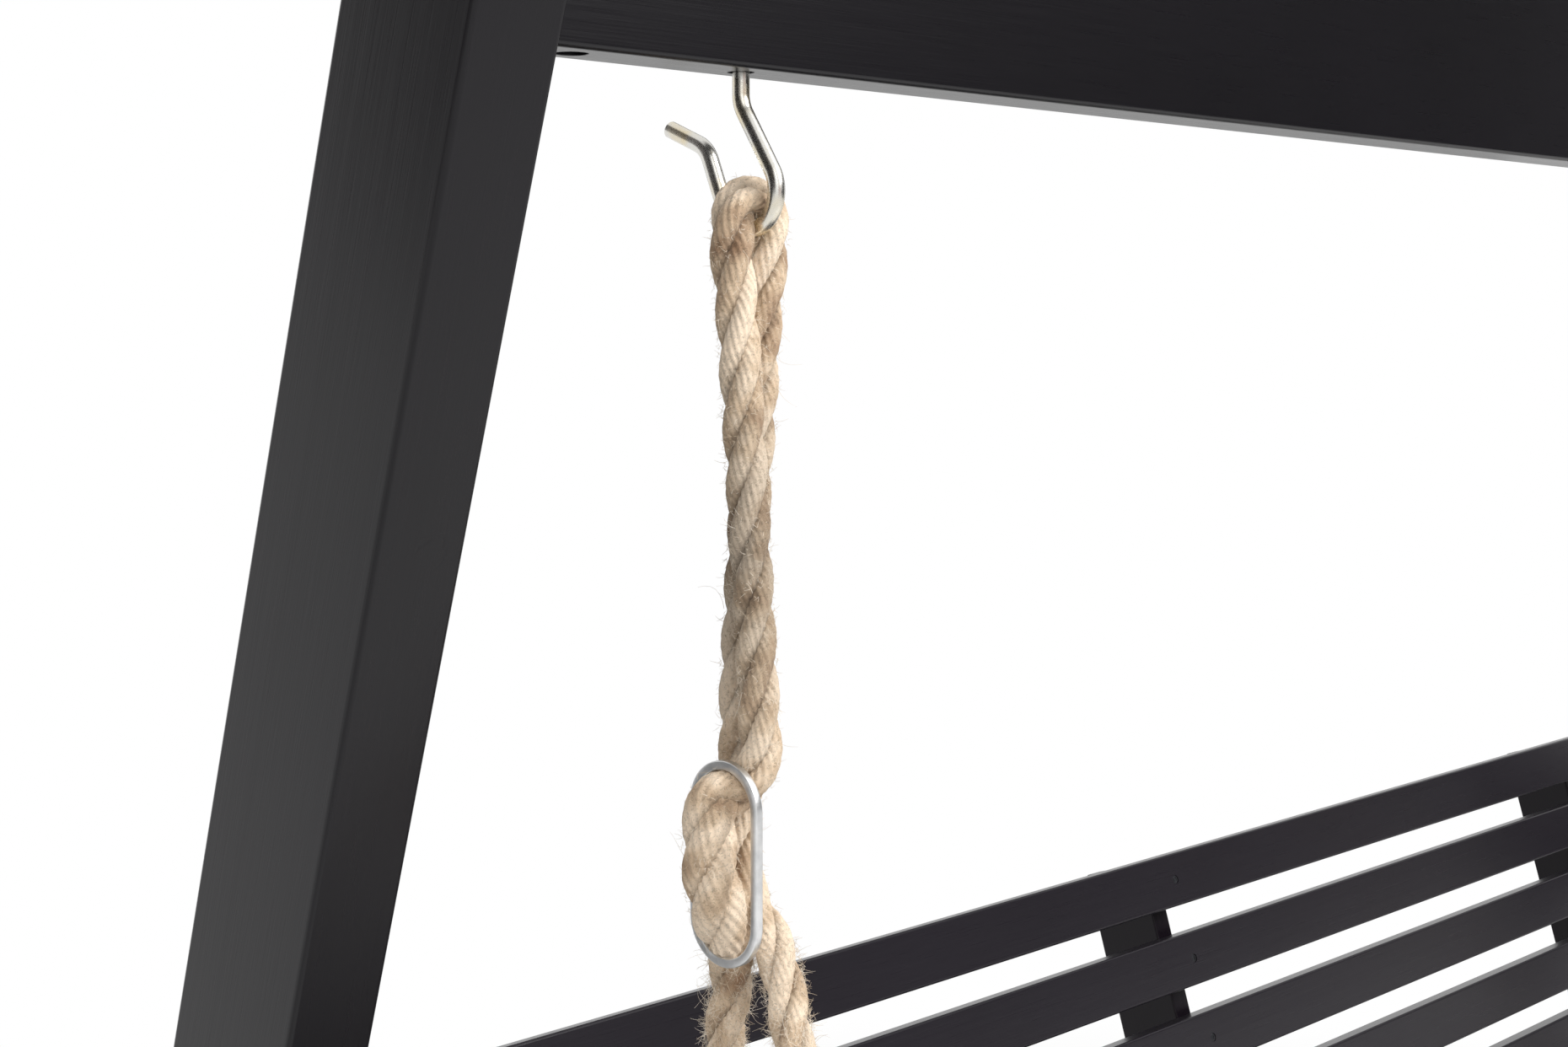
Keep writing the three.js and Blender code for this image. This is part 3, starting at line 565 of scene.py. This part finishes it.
# Boards: each takes its solid from the frame, with its sawn ends and other square edges eased
boards = {
    "starts": ("rear_", "front_", "side_rail", "top_beam", "back_", "seat_", "arm"),
    "ease": 0.8,
    "easeFrom": 75,
    "smooth": 52,
    "legLean": 17.67,
    "frontLegLean": 32,
    "backLean": 17.4,
    "seatTilt": 4.5,
    "backThick": 21,
    "seatThick": 28,
}
rearLegTurn = (0, quarter - math.radians(boards["legLean"]), quarter)
frontLegTurn = (0, quarter + math.radians(boards["frontLegLean"]), quarter)
backRibTurn = (0, quarter + math.radians(boards["backLean"]), quarter)
alongBeam = paintedPine("paintedPineAlong", (0, 0, 0), "beam")
# painted light: the slats take a lighter copy of the black paint
litSlatPaint = paintedPine("paintedPineSlat", (0, 0, 0), "slat")
alongRail = paintedPine("paintedPineRail", (0, 0, quarter))
grains = {
    "back_slat": litSlatPaint,
    "seat_slat": litSlatPaint,
    "rear_leg": paintedPine("paintedPineRearLeg", rearLegTurn, knotty=True),
    "front_leg": paintedPine("paintedPineFrontLeg", frontLegTurn),
    "side_rail": alongRail,
    "armrest": alongRail,
    "seat_rib": alongRail,
    # painted shade: the back ribs take a darker copy of the black paint
    "back_rib": paintedPine("paintedPineBackRib", backRibTurn, "rib"),
    "arm_post": paintedPine("paintedPinePost", (0, quarter, 0)),
}


def boardGrain(node):
    return next((grain for start, grain in grains.items() if node.startswith(start)), alongBeam)


def eased(node, ease, angle):
    # a merged copy of a piece's mesh, with every edge sharper than the angle eased
    shape = bmesh.new()
    shape.from_mesh(frame["nodes"][node].data)
    bmesh.ops.remove_doubles(shape, verts=shape.verts, dist=0.01 * mm)
    bmesh.ops.dissolve_limit(shape, angle_limit=math.radians(1), verts=shape.verts, edges=shape.edges)
    sharp = [
        edge for edge in shape.edges
        if len(edge.link_faces) == 2 and edge.calc_face_angle(0) > math.radians(angle)
    ]
    bmesh.ops.bevel(
        shape, geom=sharp, offset=ease * mm, segments=2, profile=0.5, affect="EDGES", clamp_overlap=True, material=-1
    )
    return shape


def standFor(piece, node):
    # the piece moves with the node's body and takes its place
    weights = piece.modifiers.new("Normals", "WEIGHTED_NORMAL")
    weights.keep_sharp = True
    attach(piece, frame["nodes"][node]["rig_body"])
    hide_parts(node)


# Countersunk screws that hold each slat to the three ribs under it
slatScrew = {
    "ribs": (-798, 5, 798),  # across the bench
    "sides": 14,
    "recess": 7.4,
    "deep": 1.1,
    "head": 6.6,
    "sunk": 0.5,
    "headThick": 0.5,
    # the head's domed rim, its land, and the socket in it: how far in each goes, and how far up
    "steps": ((0.35, 0.12), (1.25, 0), (0.1, -0.4)),
    "smooth": 35,
}
leanBack, tiltSeat = math.radians(boards["backLean"]), math.radians(boards["seatTilt"])
slatFaces = {
    "back_slat": (Vector((0, -math.cos(leanBack), math.sin(leanBack))), boards["backThick"]),
    "seat_slat": (Vector((0, math.sin(tiltSeat), math.cos(tiltSeat))), boards["seatThick"]),
}
screwPlaces = []


def addDisc(shape, diameter, depth, matrix):
    return bmesh.ops.create_cone(
        shape, cap_ends=True, segments=slatScrew["sides"], radius1=diameter / 2 * mm, radius2=diameter / 2 * mm,
        depth=depth * mm, matrix=matrix,
    )["verts"]


def recessed(shape, node):
    # cuts the screws' recesses into a slat's face
    normal, thick = slatFaces[node[:9]]
    low, high = (Vector(corner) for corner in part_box(node))
    middle = (low + high) / 2
    turned = normal.to_track_quat("Z", "Y").to_matrix().to_4x4()
    drill = bmesh.new()
    for rib in slatScrew["ribs"]:
        face = Vector((rib * mm, middle.y, middle.z)) + normal * thick / 2 * mm
        screwPlaces.append((face, turned))
        addDisc(drill, slatScrew["recess"], 2 * slatScrew["deep"], Matrix.Translation(face) @ turned)
    drilled, board = finished(drill, "drill", blackSteel), finished(shape, "blank", blackSteel)
    cut = board.modifiers.new("Recess", "BOOLEAN")
    cut.operation, cut.solver, cut.object = "DIFFERENCE", "EXACT", drilled
    bpy.context.view_layer.update()
    mesh = bpy.data.meshes.new_from_object(board.evaluated_get(bpy.context.evaluated_depsgraph_get()))
    shape = bmesh.new()
    shape.from_mesh(mesh)
    for spare in (board.data, drilled.data, mesh):
        bpy.data.meshes.remove(spare)
    return shape


def makeBoard(node):
    shape = eased(node, boards["ease"], boards["easeFrom"])
    if node[:9] in slatFaces:
        shape = recessed(shape, node)
    standFor(finished(shape, pieceName(node), boardGrain(node), boards["smooth"]), node)


woodNodes = [
    node for node in frame["nodes"] if node.startswith(boards["starts"]) and "bolt" not in node and "screw" not in node
]
for node in woodNodes:
    makeBoard(node)
print("boards:", len(woodNodes))


def makeSlatScrews():
    shape = bmesh.new()
    for face, turned in screwPlaces:
        away = turned.to_3x3() @ Vector((0, 0, 1))
        place = Matrix.Translation(face - away * (slatScrew["sunk"] + slatScrew["headThick"] / 2) * mm) @ turned
        verts = addDisc(shape, slatScrew["head"], slatScrew["headThick"], place)
        # of the many-sided faces, the one that looks out
        top = max(
            {face for vert in verts for face in vert.link_faces},
            key=lambda face: face.calc_center_median().dot(away) + len(face.verts),
        )
        for inset, rise in slatScrew["steps"]:
            bmesh.ops.inset_individual(shape, faces=[top], thickness=inset * mm, depth=rise * mm)
    screws = finished(shape, "SlatScrews", blackSteel, slatScrew["smooth"])
    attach(screws, "bench")


makeSlatScrews()
print("slat screws:", len(screwPlaces))


class Wire:
    # a ring of edges that is extruded straight or spun round a bend, as a wire is bent
    def __init__(self, shape, start, along):
        self.shape = shape
        self.verts = list(shape.verts)
        self.edges = list(shape.edges)
        self.at = start.copy()
        self.along = along.normalized()

    def carry(self, geometry):
        self.verts = [item for item in geometry if isinstance(item, bmesh.types.BMVert)]
        self.edges = [item for item in geometry if isinstance(item, bmesh.types.BMEdge)]

    def push(self, length, shrink=1.0):
        made = bmesh.ops.extrude_edge_only(self.shape, edges=self.edges)
        self.carry(made["geom"])
        self.edges = [edge for edge in self.edges if all(vert in self.verts for vert in edge.verts)]
        bmesh.ops.translate(self.shape, verts=self.verts, vec=self.along * length)
        self.at += self.along * length
        if shrink != 1.0:
            bmesh.ops.scale(self.shape, verts=self.verts, vec=(shrink,) * 3, space=Matrix.Translation(-self.at))

    def turn(self, centre, axis, angle, steps):
        made = bmesh.ops.spin(
            self.shape, geom=self.verts + self.edges, cent=centre, axis=axis, angle=angle, steps=steps,
            use_duplicate=False,
        )
        self.carry(made["geom_last"])
        spun = Matrix.Rotation(angle, 3, axis)
        self.at = centre + spun @ (self.at - centre)
        self.along = spun @ self.along

    def bend(self, corner, nextPoint, radius, steps):
        # straight on to the bend's start, then round the bend
        toNext = (nextPoint - corner).normalized()
        angle = self.along.angle(toNext)
        self.push((corner - self.at).length - radius * math.tan(angle / 2))
        axis = self.along.cross(toNext).normalized()
        self.turn(self.at + axis.cross(self.along) * radius, axis, angle, steps)


# Hooks: wire bent in the plane across the beam, with a thread on the shank. Places are [back, up] from
# the hook's axis at the beam's underside.
hook = {
    "wire": 8,
    "sides": 32,
    "chamfer": 0.6,
    "top": 155.8,
    "threadPitch": 1.25,
    "threadRoot": 3.4,
    "threadTurns": 14,
    "shankCorner": (5.3, -14.5),
    "shankBend": 16,
    "bowlDepth": 54.5,
    "bowlRadius": 17.5,
    "throat": (27.9, -33.2),
    "throatBend": 15,
    "tip": (53.2, -22.9),
    "steps": {"shank": 10, "bowl": 40, "throat": 12},
    "smooth": 35,
}


def makeHook(side, sign):
    origin = vec(sign * swing["hookSpacing"] / 2, 0, swing["beamUnderside"])

    def at(back, up):
        return origin + vec(0, back, up)

    bowlRadius = hook["bowlRadius"] * mm
    centre = at(0, -hook["bowlDepth"])

    def touch(corner, handed):
        # where the straight through a corner meets the bowl
        away = corner - centre
        return math.atan2(away.z, away.y) + handed * math.acos(bowlRadius / away.length)

    shankCorner, throat, tip = at(*hook["shankCorner"]), at(*hook["throat"]), at(*hook["tip"])
    start = touch(shankCorner, 1)
    end = touch(throat, -1) + 2 * math.pi
    bowlStart = centre + Vector((0, math.cos(start), math.sin(start))) * bowlRadius
    radius, chamfer = hook["wire"] / 2, hook["chamfer"]
    top, down = at(hook["shankCorner"][0], hook["top"]), Vector((0, 0, -1))
    shape = bmesh.new()
    bmesh.ops.create_circle(
        shape, segments=hook["sides"], radius=(radius - chamfer) * mm,
        matrix=Matrix.Translation(top) @ down.to_track_quat("Z", "Y").to_matrix().to_4x4(),
    )
    wire = Wire(shape, top, down)
    topEdges = wire.edges
    wire.push(chamfer * mm, radius / (radius - chamfer))
    sink = hook["threadRoot"] / radius
    for _ in range(hook["threadTurns"]):
        wire.push(hook["threadPitch"] / 2 * mm, sink)
        wire.push(hook["threadPitch"] / 2 * mm, 1 / sink)
    steps = hook["steps"]
    wire.bend(shankCorner, bowlStart, hook["shankBend"] * mm, steps["shank"])
    wire.push((bowlStart - wire.at).length)
    wire.turn(centre, Vector((1, 0, 0)), end - start, steps["bowl"])
    wire.bend(throat, tip, hook["throatBend"] * mm, steps["throat"])
    wire.push((tip - wire.at).length - chamfer * mm)
    wire.push(chamfer * mm, 1 - chamfer / radius)
    for edges in (wire.edges, topEdges):
        bmesh.ops.contextual_create(shape, geom=edges)
    bmesh.ops.recalc_face_normals(shape, faces=shape.faces)
    made = finished(shape, "Hook" + side.capitalize(), zinc, hook["smooth"])
    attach(made, "frame")
    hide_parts("hook_" + side)


for side, sign in sides.items():
    makeHook(side, sign)
print("hooks bent")


# Oval rings of flat bar that gather the two runs of each rope
ring = {
    "height": 98,
    "width": 45,
    "wall": 4.4,
    "depth": 4.2,
    "drop": 366,  # from the beam's underside to the ring's middle
    "outboard": 16,
    "round": 0.6,
    "steps": 28,
    "smooth": 40,
}


def makeRing(side, sign):
    middle = vec(sign * (swing["hookSpacing"] / 2 + ring["outboard"]), 0, swing["beamUnderside"] - ring["drop"])
    outer = ring["width"] / 2
    straight = ring["height"] / 2 - outer
    start = middle + vec(0, outer - ring["wall"] / 2, -straight)
    shape = bmesh.new()
    bmesh.ops.create_grid(shape, x_segments=1, y_segments=1, size=0.5)
    bmesh.ops.scale(shape, verts=shape.verts, vec=(ring["depth"] * mm, ring["wall"] * mm, 1))
    bmesh.ops.bevel(
        shape, geom=list(shape.verts), offset=ring["round"] * mm, segments=3, profile=0.5, affect="VERTICES",
        material=-1,
    )
    bmesh.ops.delete(shape, geom=list(shape.faces), context="FACES_ONLY")
    bmesh.ops.translate(shape, verts=shape.verts, vec=start)
    wire = Wire(shape, start, Vector((0, 0, 1)))
    for centreHeight in (straight, -straight):
        wire.push(2 * straight * mm)
        wire.turn(middle + vec(0, 0, centreHeight), Vector((1, 0, 0)), math.pi, ring["steps"])
    bmesh.ops.remove_doubles(shape, verts=shape.verts, dist=0.005 * mm)
    bmesh.ops.recalc_face_normals(shape, faces=shape.faces)
    made = finished(shape, "RopeRing" + side.capitalize(), ringMetal, ring["smooth"])
    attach(made, "bench")
    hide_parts("rope_ring_" + side)


for side, sign in sides.items():
    makeRing(side, sign)
print("rings made")


# Ropes: 20 mm hemp, three strands laid right-handed, each of nine yarns that lie nearly along the rope.
# The route is [outboard, back, height, swell] from the hook's axis at the beam's underside, and follows the
# frame's. The rope is squashed on the hook and in the ring, so there it is drawn thicker by its swell.
ropeRoute = [
    # up from the front bearer to the ring
    (0, -323.5, -1157, 1), (0, -316, -1120, 1), (0, -290, -1050, 1), (0, -31, -457, 1), (-5.2, -19, -430, 1),
    (-8, -7, -407, 1),
    # through the ring and up to the hook
    (-3.6, 5.2, -386, 1.04), (-1.6, 8.6, -366, 1.06), (-4.2, 10, -344, 1.04), (-4.2, 11.4, -298, 1),
    (-9.4, 4, -140, 1), (-9.8, 2, -112, 1), (-10.9, 1, -94, 1.02), (-11.3, 0.2, -79, 1.05),
    # over the hook
    (-10.8, 0, -66.6, 1.06), (-7, 0, -59.6, 1.04), (0, 0, -57.4, 1.04), (7, 0, -59.6, 1.04), (10.8, 0, -66.6, 1.06),
    # down to the ring
    (11.3, -0.2, -79, 1.05), (10.9, -1, -94, 1.02), (9.8, -2, -112, 1), (9.4, -4, -140, 1), (3.4, -9.6, -298, 1),
    (2.6, -9.2, -313, 1.04), (4.8, -6.4, -325.5, 1.12),
    # bulging out through the ring and back
    (12.8, 1, -331.6, 1.27), (19.4, 4, -335.4, 1.29), (22.2, 4.6, -352, 1.3), (21.4, 5, -369, 1.32),
    (16.7, 5.4, -386, 1.37), (7.8, 7.8, -402, 1.33), (2.2, 10.3, -415, 1.12),
    # down to the rear bearer
    (0, 17.6, -457, 1), (0, 140, -1090, 1), (0, 150.5, -1155, 1),
]
rope = {
    "strandRadius": 5.45,
    "strandOffset": 4.75,
    "thicken": 1.4,  # a squashed rope's strands thicken with the swell to this power
    "lay": 80,  # length of one full turn of a strand
    "phase": 74,
    "yarns": 9,
    "pointsPerYarn": 5,
    "yarnDepth": 0.5,
    "yarnTurn": -46,  # length of one turn of a yarn in its strand, against the lay
    "yarnShift": 37,  # sets the strands' yarns apart in the noise that shades them
    "routeSteps": 12,
    "step": 2.0,
    "uneven": {"depth": 0.55, "size": 2.2, "detail": 2},  # bumps on the strands
}
# Overhand knots under the bearers, opened from a three-lobed closed knot. Its lines are [across, up, along].
knot = {
    "centres": ((0, -328.8, -1221.7), (0, 150.3, -1259.3)),
    "size": (8.6, 9.632, 12.47),
    "lobes": (1.55, 0.95),  # mean reach and how much it varies, in sizes
    "opening": 0.25,  # radians
    "points": 26,
    "tail": ((0, -61, 0), (1, -46, 1), (5, -33, 6), (13, -14, 11)),
    "lead": ((13, 14, -11), (5, 30, -6)),
}
# Loose fibres: short curls that leave the rope's skin, more of them under the ring, and frayed cut ends
fuzz = {
    "radius": 0.115,
    "taper": 0.6,
    # count, heights between which they grow, length, curl, steps, rise from the skin
    "batches": (
        (1700, -1400, 0, 2.4, 0.5, 3, 0.45),
        (4200, -480, 0, 2.2, 0.5, 3, 0.5),
        (260, -1400, 0, 5, 0.8, 5, 0.8),
        (120, -480, 0, 9, 0.5, 6, 0.25),
        (2000, -480, -408, 3.9, 1.0, 5, 1.4),
        (150, -480, -408, 8, 1.3, 8, 1.2),
    ),
    "lengthSpread": 0.4,
    "sideways": 0.8,
    "rootDepth": 0.7,
    "frayed": {"count": 160, "reach": 8.5, "flare": 0.5, "length": (4, 8), "curl": 0.5, "steps": 3},
    "seed": 5,
}


def smoothLine(points, each):
    # centripetal curve through the points, with a number of steps between each pair
    def mix(a, b, ta, tb, t):
        return a * ((tb - t) / (tb - ta)) + b * ((t - ta) / (tb - ta))

    ends = [points[0] * 2 - points[1], *points, points[-1] * 2 - points[-2]]
    line = []
    for a, b, c, d in zip(ends, ends[1:], ends[2:], ends[3:]):
        ta = 0.0
        tb = ta + math.sqrt((b - a).length)
        tc = tb + math.sqrt((c - b).length)
        td = tc + math.sqrt((d - c).length)
        for step in range(each):
            t = tb + (tc - tb) * step / each
            bc = mix(b, c, tb, tc, t)
            before = mix(mix(a, b, ta, tb, t), bc, ta, tc, t)
            after = mix(bc, mix(c, d, tc, td, t), tb, td, t)
            line.append(mix(before, after, tb, tc, t))
    line.append(points[-1].copy())
    return line


def evenLine(line, step):
    # the same line with its points a step apart
    even = [line[0].copy()]
    left = step
    for a, b in zip(line, line[1:]):
        gap = (b - a).length
        while gap > 0 and left <= gap:
            even.append(a.lerp(b, left / gap))
            left += step
        left -= gap
    return even


def frameLine(line):
    # for each point its tangent and two cross directions that don't twist
    tangents = [(line[min(i + 1, len(line) - 1)] - line[max(i - 1, 0)]).normalized() for i in range(len(line))]
    normal = tangents[0].orthogonal().normalized()
    frames = []
    for tangent in tangents:
        normal = (normal - tangent * normal.dot(tangent)).normalized()
        frames.append((tangent, normal, tangent.cross(normal)))
    return frames


def makeProfile(name, radii):
    # a closed section to sweep along a curve, from its radii at equal angles
    data = bpy.data.curves.new(name, "CURVE")
    spline = data.splines.new("POLY")
    spline.points.add(len(radii) - 1)
    for i, (point, radius) in enumerate(zip(spline.points, radii)):
        angle = 2 * math.pi * i / len(radii)
        point.co = (radius * mm * math.cos(angle), radius * mm * math.sin(angle), 0, 1)
    spline.use_cyclic_u = True
    made = bpy.data.objects.new(name, data)
    bpy.context.scene.collection.objects.link(made)
    return made


def newCurve(name, profile):
    data = bpy.data.curves.new(name, "CURVE")
    data.dimensions = "3D"
    data.bevel_mode = "OBJECT"
    data.bevel_object = profile
    return data


def curveMesh(name, data, material):
    # bakes a curve to a mesh object at the origin
    temporary = bpy.data.objects.new(name + "Curve", data)
    bpy.context.scene.collection.objects.link(temporary)
    bpy.context.view_layer.update()
    mesh = bpy.data.meshes.new_from_object(temporary.evaluated_get(bpy.context.evaluated_depsgraph_get()))
    bpy.data.objects.remove(temporary)
    mesh.name = name
    mesh.materials.clear()
    mesh.materials.append(material)
    made = bpy.data.objects.new(name, mesh)
    bpy.context.scene.collection.objects.link(made)
    return made


def knotRoute(centre, entry):
    # the knot's centre line from the tail's end up to the rope, in the route's terms
    mean, vary = knot["lobes"]
    opening = knot["opening"]
    body = []
    for i in range(knot["points"] + 1):
        t = opening + (2 * math.pi - 2 * opening) * i / knot["points"]
        reach = mean + vary * math.cos(3 * t)
        place = (reach * math.cos(2 * t), reach * math.sin(2 * t), vary * math.sin(3 * t))
        body.append([part * size for part, size in zip(place, knot["size"])])
    x, y, z = centre
    return [(x + across, y + along * entry, z + up, 1) for across, up, along in (*knot["tail"], *body, *knot["lead"])]


def makeStrand(name, line, frames, number, profile):
    data = newCurve(name, profile)
    data.twist_mode = "MINIMUM"
    data.use_fill_caps = True
    spline = data.splines.new("POLY")
    spline.points.add(len(line) - 1)
    sections = []
    for i, (point, (_, normal, across)) in enumerate(zip(line, frames)):
        way = i * rope["step"]
        angle = 2 * math.pi * (way / rope["lay"] + number / 3) + math.radians(rope["phase"])
        swell = point.w / mm
        out = normal * math.cos(angle) + across * math.sin(angle)
        # the strands thicken more than they part, so the grooves between them get shallower
        centre = point.xyz + out * (rope["strandOffset"] * math.sqrt(swell)) * mm
        sections.append((centre, out))
        spline.points[i].co = (*centre, 1)
        spline.points[i].radius = swell ** rope["thicken"]
        spline.points[i].tilt = 2 * math.pi * way / rope["yarnTurn"]
    strand = curveMesh(name, data, yarn)
    shape = bmesh.new()
    shape.from_mesh(strand.data)
    # how far each point looks away from the rope's middle: 1 on the crown, less towards the grooves, where the yarn
    # gets painted shade
    crown = shape.verts.layers.float.new("crown")
    for vert in shape.verts:
        centre, out = sections[min(vert.index // (rope["yarns"] * rope["pointsPerYarn"]), len(line) - 1)]
        vert[crown] = 0.5 + 0.5 * (vert.co - centre).normalized().dot(out)
    bmesh.ops.remove_doubles(shape, verts=shape.verts, dist=0.001 * mm)
    bmesh.ops.recalc_face_normals(shape, faces=shape.faces)
    # the curve's pattern runs 0 to 1 both ways: turned into yarns round the strand and metres along it
    layer = shape.loops.layers.uv[0]
    length = (len(line) - 1) * rope["step"] * mm
    for face in shape.faces:
        face.smooth = True
        for loop in face.loops:
            around, along = loop[layer].uv
            loop[layer].uv = (around * rope["yarns"] + rope["yarnShift"] * number, along * length)
    shape.to_mesh(strand.data)
    shape.free()
    strand.data.uv_layers[0].name = "yarn"
    uneven = strand.modifiers.new("Uneven", "DISPLACE")
    uneven.texture = unevenness
    uneven.texture_coords = "LOCAL"
    uneven.strength = rope["uneven"]["depth"] * mm
    return strand


def makeFibres(name, line, frames, seed, profile):
    random.seed(seed)
    data = newCurve(name, profile)
    base = swing["beamUnderside"] * mm

    def grow(at, way, length, curl, steps):
        turn = Vector([random.uniform(-1, 1) for _ in range(3)]) * curl
        spline = data.splines.new("POLY")
        spline.points.add(steps)
        for n, point in enumerate(spline.points):
            point.co = (*at, 1)
            point.radius = 1.0 - fuzz["taper"] * n / steps
            turn += Vector([random.uniform(-1, 1) for _ in range(3)]) * curl / 2
            way = (way + turn * 2 / steps).normalized()
            at = at + way * length / steps

    for count, low, high, length, curl, steps, rise in fuzz["batches"]:
        places = [i for i, point in enumerate(line) if low * mm < point.z - base < high * mm]
        for _ in range(count):
            i = random.choice(places)
            tangent, normal, across = frames[i]
            angle = random.uniform(0, 2 * math.pi)
            out = normal * math.cos(angle) + across * math.sin(angle)
            way = out * random.uniform(0.1, 1) * rise + tangent * random.uniform(-1, 1)
            way += tangent.cross(out) * random.uniform(-fuzz["sideways"], fuzz["sideways"])
            skin = (rope["strandRadius"] + rope["strandOffset"]) * line[i].w - fuzz["rootDepth"] * mm
            reach = random.lognormvariate(math.log(length), fuzz["lengthSpread"]) * mm
            grow(line[i].xyz + out * skin, way.normalized(), reach, curl, steps)
    frayed = fuzz["frayed"]
    for i, outward in ((0, -1), (len(line) - 1, 1)):
        tangent, normal, across = frames[i]
        for _ in range(frayed["count"]):
            angle = random.uniform(0, 2 * math.pi)
            root = math.sqrt(random.random()) * frayed["reach"] * mm
            out = normal * math.cos(angle) + across * math.sin(angle)
            way = (tangent * outward + out * frayed["flare"] * random.random()).normalized()
            length = random.uniform(*frayed["length"]) * mm
            grow(line[i].xyz + out * root, way, length, frayed["curl"], frayed["steps"])
    return curveMesh(name, data, fibre)


def makeRope(side, sign, strandProfile, fibreProfile):
    origin = vec(sign * swing["hookSpacing"] / 2, 0, swing["beamUnderside"]).to_4d()
    origin.w = 0
    front, rear = knot["centres"]
    route = [*knotRoute(front, 1), *ropeRoute, *reversed(knotRoute(rear, -1))]
    points = [origin + Vector((sign * out, back, height, swell)) * mm for out, back, height, swell in route]
    line = evenLine(smoothLine(points, rope["routeSteps"]), rope["step"] * mm)
    frames = frameLine([point.xyz for point in line])
    label = "Rope" + side.capitalize()
    for number in range(3):
        strand = makeStrand(f"{label}Strand{number + 1}", line, frames, number, strandProfile)
        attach(strand, "bench")
        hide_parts("rope_" + side)
    loose = makeFibres(label + "Fibres", line, frames, fuzz["seed"] + sign, fibreProfile)
    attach(loose, "bench")
    print(label, "length", round((len(line) - 1) * rope["step"]), "mm")


unevenness = bpy.data.textures.new("Unevenness", "CLOUDS")
unevenness.noise_scale = rope["uneven"]["size"] * mm
unevenness.noise_depth = rope["uneven"]["detail"]
# a strand's section is round, with a swell for each yarn
strandRadii = [
    rope["strandRadius"] - rope["yarnDepth"] / 2 * (1 - math.cos(2 * math.pi * i / rope["pointsPerYarn"]))
    for i in range(rope["yarns"] * rope["pointsPerYarn"])
]
profiles = makeProfile("strandProfile", strandRadii), makeProfile("fibreProfile", [fuzz["radius"]] * 3)
for side, sign in sides.items():
    makeRope(side, sign, *profiles)
for spare in profiles:
    bpy.data.objects.remove(spare)

# Bolts, screws and nuts: the frame's solids with their edges eased
fastener = {"ease": 0.4, "easeFrom": 50, "smooth": 35}
for node, piece in frame["nodes"].items():
    if not piece.hide_render:
        nut = "nut" in node
        shape = eased(node, fastener["ease"], fastener["easeFrom"])
        made = finished(shape, pieceName(node), zinc if nut else blackSteel, fastener["smooth"])
        standFor(made, node)
print("bolts and nuts finished")
